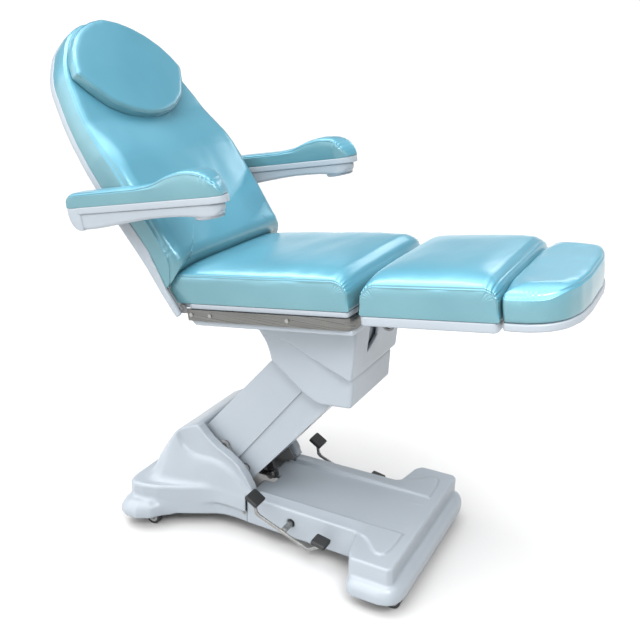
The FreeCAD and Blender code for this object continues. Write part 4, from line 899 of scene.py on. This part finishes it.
def front_level(X, Y, Z):
    A = np.abs(Y)
    plan = fillet_cache("front", FRONT_PLAN, [0, 0, 0, 14, 12, 40, 40, 16, 9, 9, 0])
    body = np.maximum(both_round(poly_sd(X, A, plan), Z - 155.0, 6.0), 54.0 - Z)
    rails = both_round(both_round(poly_sd(X, A, plan) + 3.0, poly_sd(X, A, RAISED), 5.0), Z - (160.5 - 0.20 * np.clip(A - 118, 0, 60) * (1 - smooth(225, 300, X))), 3.5)
    d = smin(body, np.maximum(rails, 100.0 - Z), 3.0)
    low = fillet_cache("low", FRONT_LOW, [0, 20, 24, 30, 50, 50, 60, 80, 0])
    plinth = both_round(both_round(poly_sd(X, A, low), Z - 98.0, 30.0), 45.0 - Z, 8.0)
    d = smin(d, plinth, 6.0)
    floor = 138.0 + (X + 200.0) * (17.2 / 592.0)
    channel = np.maximum(A - 110.0 - 0.35 * np.maximum(Z - floor, 0.0), floor - Z)
    channel = np.maximum(channel, X - 470.0 + 0 * X)
    channel = np.where(X > 396.0, np.maximum(channel, 155.0 - Z), channel)
    d = smax(d, -channel, 3.0)
    d = np.maximum(d, -130.4 - X)
    tongue = np.maximum(np.maximum(np.abs(A - 71.0) - 43.5, np.abs(X + 120.0) - 26.0), np.abs(Z - 136.2) - 4.2)
    d = np.minimum(d, tongue)
    slot = np.maximum(np.minimum(A - 27.0, np.abs(A - 122.5) - 6.5), np.maximum(X + 107.0, 100.0 - Z))
    d = np.maximum(d, -slot)
    hood_seat = np.maximum(X + 104.0, 156.4 - Z)
    d = np.maximum(d, -hood_seat)
    hole = np.hypot(X - 33.0, Z - 106.0) - 14.0
    return smax(d, -hole, 1.5)


_CACHE = {}


def fillet_cache(key, pts, r):
    if key not in _CACHE:
        _CACHE[key] = fillet(pts, r, 5)
    return _CACHE[key]


def front_drop(c, n):
    A = np.abs(c[:, 1])
    down = (n[:, 2] < -0.75) & (c[:, 2] < 58)
    joint = (c[:, 0] < -129.0) & (n[:, 0] < -0.7) & (c[:, 2] < 150)
    slot = (A < 130) & (c[:, 0] < -106) & (c[:, 2] < 130)
    hole = (np.hypot(c[:, 0] - 33, c[:, 2] - 106) < 15.5) & (A < 153)
    return down | joint | slot | hole


UPPER = [(-150, 800), (247, 845), (246, 822), (230, 634), (150, 660), (18, 707), (-35, 716), (-66, 712), (-90, 728), (-118, 752), (-150, 766)]
LOWER = [(-118, 800), (-112, 752), (-88, 725), (-64, 692), (-52, 660), (-48, 640), (60, 557), (98, 537), (121, 530), (221, 541), (225, 628), (222, 640), (222, 840)]


def seat_local(X, Z):
    c, s = math.cos(math.radians(7.0)), math.sin(math.radians(7.0))
    return X * c + (Z - 851.3) * s, -X * s + (Z - 851.3) * c


def upper_level(X, Y, Z):
    A = np.abs(Y)
    half = 141.6 + 23.5 * np.clip((X + 45.0) / 285.0, 0, 1)
    poly = fillet_cache("upper", UPPER, [0, 0, 0, 9, 60, 90, 60, 30, 30, 40, 0])
    body = both_round(poly_sd(X, Z, poly), (A - half) * 0.995, 8.0)
    u, w = seat_local(X, Z)
    flange = both_round(np.maximum(np.maximum(-250.0 - u, u - 272.0), A - 262.0), np.abs(w + 57.0) - 9.2, 5.0)
    flange = np.maximum(flange, (-u - 243.0 + (-w - 57.0) * 1.1) * 0.67)
    d = smin(body, flange, 16.0)
    room = half - 10.5 + 25.0 * (1 - smooth(-190, -150, X))
    inner = np.maximum(np.maximum(A - room, -320.0 - X), poly_sd(X, Z, [(-330, 960), (-330, 600), (30, 560), (216, 560), (221.0, 637), (236, 822), (236, 960)]))
    d = smax(d, -inner, 2.0)
    slot = np.maximum(np.maximum(np.abs(Y + 37.0) - 31.0, 222.0 - X), np.maximum(716.0 + 0.55 * (Y + 37.0) - Z, Z - 960.0))
    return smax(d, -slot, 2.0)


def lower_level(X, Y, Z):
    A = np.abs(Y)
    poly = fillet_cache("lower", LOWER, [0, 40, 60, 60, 40, 10, 40, 40, 24, 10, 6, 4, 0])
    d = both_round(poly_sd(X, Z, poly), A - 140.0, 8.0)
    inner = np.maximum(A - 130.0, poly_sd(X, Z, [(-220, 960), (-220, 400), (208, 400), (211.5, 551), (215, 632), (212, 640), (212, 960)]))
    return smax(d, -inner, 2.0)


def covers():
    p, q, _ = surface(rear_level, (-564, -326, 30), (-92, 326, 376), 5.0)
    shell_piece("rear_cover_moulding", p, q, rear_drop, 3.6, "base", WHITE, ("rear_cover",))
    p, q, _ = surface(front_level, (-152, -324, 30), (466, 324, 172), 4.6)
    shell_piece("front_cover_moulding", p, q, front_drop, 3.6, "base", WHITE, ("front_cover",))
    p, q, _ = surface(upper_level, (-268, -272, 624), (288, 272, 846), 4.6)
    shell_piece("upper_housing_moulding", p, q, None, 0, "seat", WHITE, ("upper_housing",))
    p, q, _ = surface(lower_level, (-130, -150, 522), (236, 150, 810), 4.6)
    shell_piece("lower_housing_moulding", p, q, None, 0, "seat", WHITE, ("lower_housing",))


covers()


# ---------------------------------------------------------------- pedal pads
def rounded_box(sx, sy, sz, r):
    half = []
    for k in range(8):
        t = math.radians(90 * k / 7)
        half.append((-sx / 2 + r * (1 - math.cos(t)), r * (1 - math.sin(t))))
    ring = half + [(-x, s) for x, s in reversed(half)]
    return loft_mesh([(x, 0.0, sy / 2 - s * 0.9, s * 0.6, sz - s * 0.6, r) for x, s in ring])


def trim():
    pads = []
    for s in (-1, 1):
        for x, z, turn, wide in ((-71.0, 187.0, 31.0, 56.0), (163.5, 105.0, 10.0, 48.0)):
            v, f = rounded_box(48, wide, 15, 5.5)
            a = math.radians(-turn)
            c, k = math.cos(a), math.sin(a)
            w = np.stack([x + v[:, 0] * c - v[:, 2] * k, s * 209.0 + v[:, 1], z + v[:, 0] * k + v[:, 2] * c], 1)
            pads.append((w, f))
    v, f = joined(pads)
    make("pedal_pad_covers", v, f, "pedal", RUBBER, ("pedal_pads",))


trim()


# ---------------------------------------------------------------- camera, light and floor
def studio():
    az, pitch, roll = math.radians(27.64), math.radians(20.09), math.radians(0.66)
    fwd = Vector((-math.sin(az) * math.cos(pitch), math.cos(az) * math.cos(pitch), -math.sin(pitch)))
    right = Vector((math.cos(az), math.sin(az), 0.0))
    up = right.cross(fwd)
    r2 = math.cos(roll) * right + math.sin(roll) * up
    u2 = -math.sin(roll) * right + math.cos(roll) * up
    cam = bpy.data.cameras.new("camera")
    cam.lens, cam.sensor_width = 787.9 / 640.0 * 36.0, 36.0
    cam.clip_start, cam.clip_end = 0.05, 60.0
    o = bpy.data.objects.new("camera", cam)
    bpy.context.scene.collection.objects.link(o)
    m = Matrix(((r2.x, u2.x, -fwd.x, 1.086), (r2.y, u2.y, -fwd.y, -1.989), (r2.z, u2.z, -fwd.z, 1.570), (0, 0, 0, 1)))
    o.matrix_world = m
    bpy.context.scene.camera = o

    me = bpy.data.meshes.new("floor")
    s = 14.0
    me.from_pydata([(-s, -s, 0), (s, -s, 0), (s, s, 0), (-s, s, 0)], [], [(0, 1, 2, 3)])
    fm, nt, b = new_material("floor_white")
    nt.links.new(ramp(nt, noise_node(nt, tex_point(nt), 0.8), (0.575, 0.575, 0.575), (0.590, 0.590, 0.590)), b.inputs["Base Color"])
    b.inputs["Roughness"].default_value = 0.75
    b.inputs["Specular IOR Level"].default_value = 0.15
    me.materials.append(fm)
    fo = bpy.data.objects.new("floor", me)
    bpy.context.scene.collection.objects.link(fo)

    world = bpy.context.scene.world or bpy.data.worlds.new("studio")
    bpy.context.scene.world = world
    world.use_nodes = True
    wt = world.node_tree
    bg = wt.nodes["Background"]
    tc = wt.nodes.new("ShaderNodeTexCoord")
    sp = wt.nodes.new("ShaderNodeSeparateXYZ")
    rp = wt.nodes.new("ShaderNodeValToRGB")
    wt.links.new(tc.outputs["Generated"], sp.inputs["Vector"])
    wt.links.new(sp.outputs["Z"], rp.inputs["Fac"])
    stops = rp.color_ramp.elements
    stops[0].position, stops[0].color = 0.09, (0.36, 0.36, 0.36, 1.0)
    stops[1].position, stops[1].color = 0.94, (1.0, 1.0, 1.0, 1.0)
    for at, grey in ((0.17, 0.075), (0.70, 0.075)):
        e = stops.new(at)
        e.color = (grey, grey, grey * 1.02, 1.0)
    dp = wt.nodes.new("ShaderNodeVectorMath")
    dp.operation = "DOT_PRODUCT"
    dp.inputs[1].default_value = (-0.44, -0.62, 0.65)
    wt.links.new(tc.outputs["Generated"], dp.inputs[0])
    lobe = wt.nodes.new("ShaderNodeMapRange")
    lobe.interpolation_type = "SMOOTHSTEP"
    lobe.inputs["From Min"].default_value, lobe.inputs["From Max"].default_value = 0.58, 0.95
    lobe.inputs["To Min"].default_value, lobe.inputs["To Max"].default_value = 0.0, 0.95
    wt.links.new(dp.outputs["Value"], lobe.inputs["Value"])
    mix = wt.nodes.new("ShaderNodeMix")
    mix.data_type = "RGBA"
    mix.blend_type = "ADD"
    mix.inputs["Factor"].default_value = 1.0
    wt.links.new(rp.outputs["Color"], mix.inputs[6])
    wt.links.new(lobe.outputs["Result"], mix.inputs[7])
    wt.links.new(mix.outputs[2], bg.inputs["Color"])
    bg.inputs["Strength"].default_value = 3.0

    def area(name, at, to, size, power, tint=(1, 1, 1)):
        li = bpy.data.lights.new(name, "AREA")
        li.shape = "RECTANGLE"
        li.size, li.size_y = size
        li.energy = power
        li.color = tint
        lo = bpy.data.objects.new(name, li)
        lo.location = at
        lo.rotation_mode = "QUATERNION"
        lo.rotation_quaternion = (Vector(to) - Vector(at)).to_track_quat("-Z", "Y")
        bpy.context.scene.collection.objects.link(lo)

    area("strip", (-1.35, 0.1, 3.4), (0.0, 0.0, 0.8), (0.6, 2.4), 30.0)
    area("front", (1.9, -1.9, 2.9), (-0.2, 0.0, 1.0), (1.4, 1.0), 80.0)
    area("rim", (0.3, 3.0, 2.5), (-0.2, 0.0, 0.9), (1.4, 0.4), 7.0)
    bpy.context.scene.view_settings.view_transform = "Standard"
    bpy.context.scene.view_settings.look = "None"


studio()
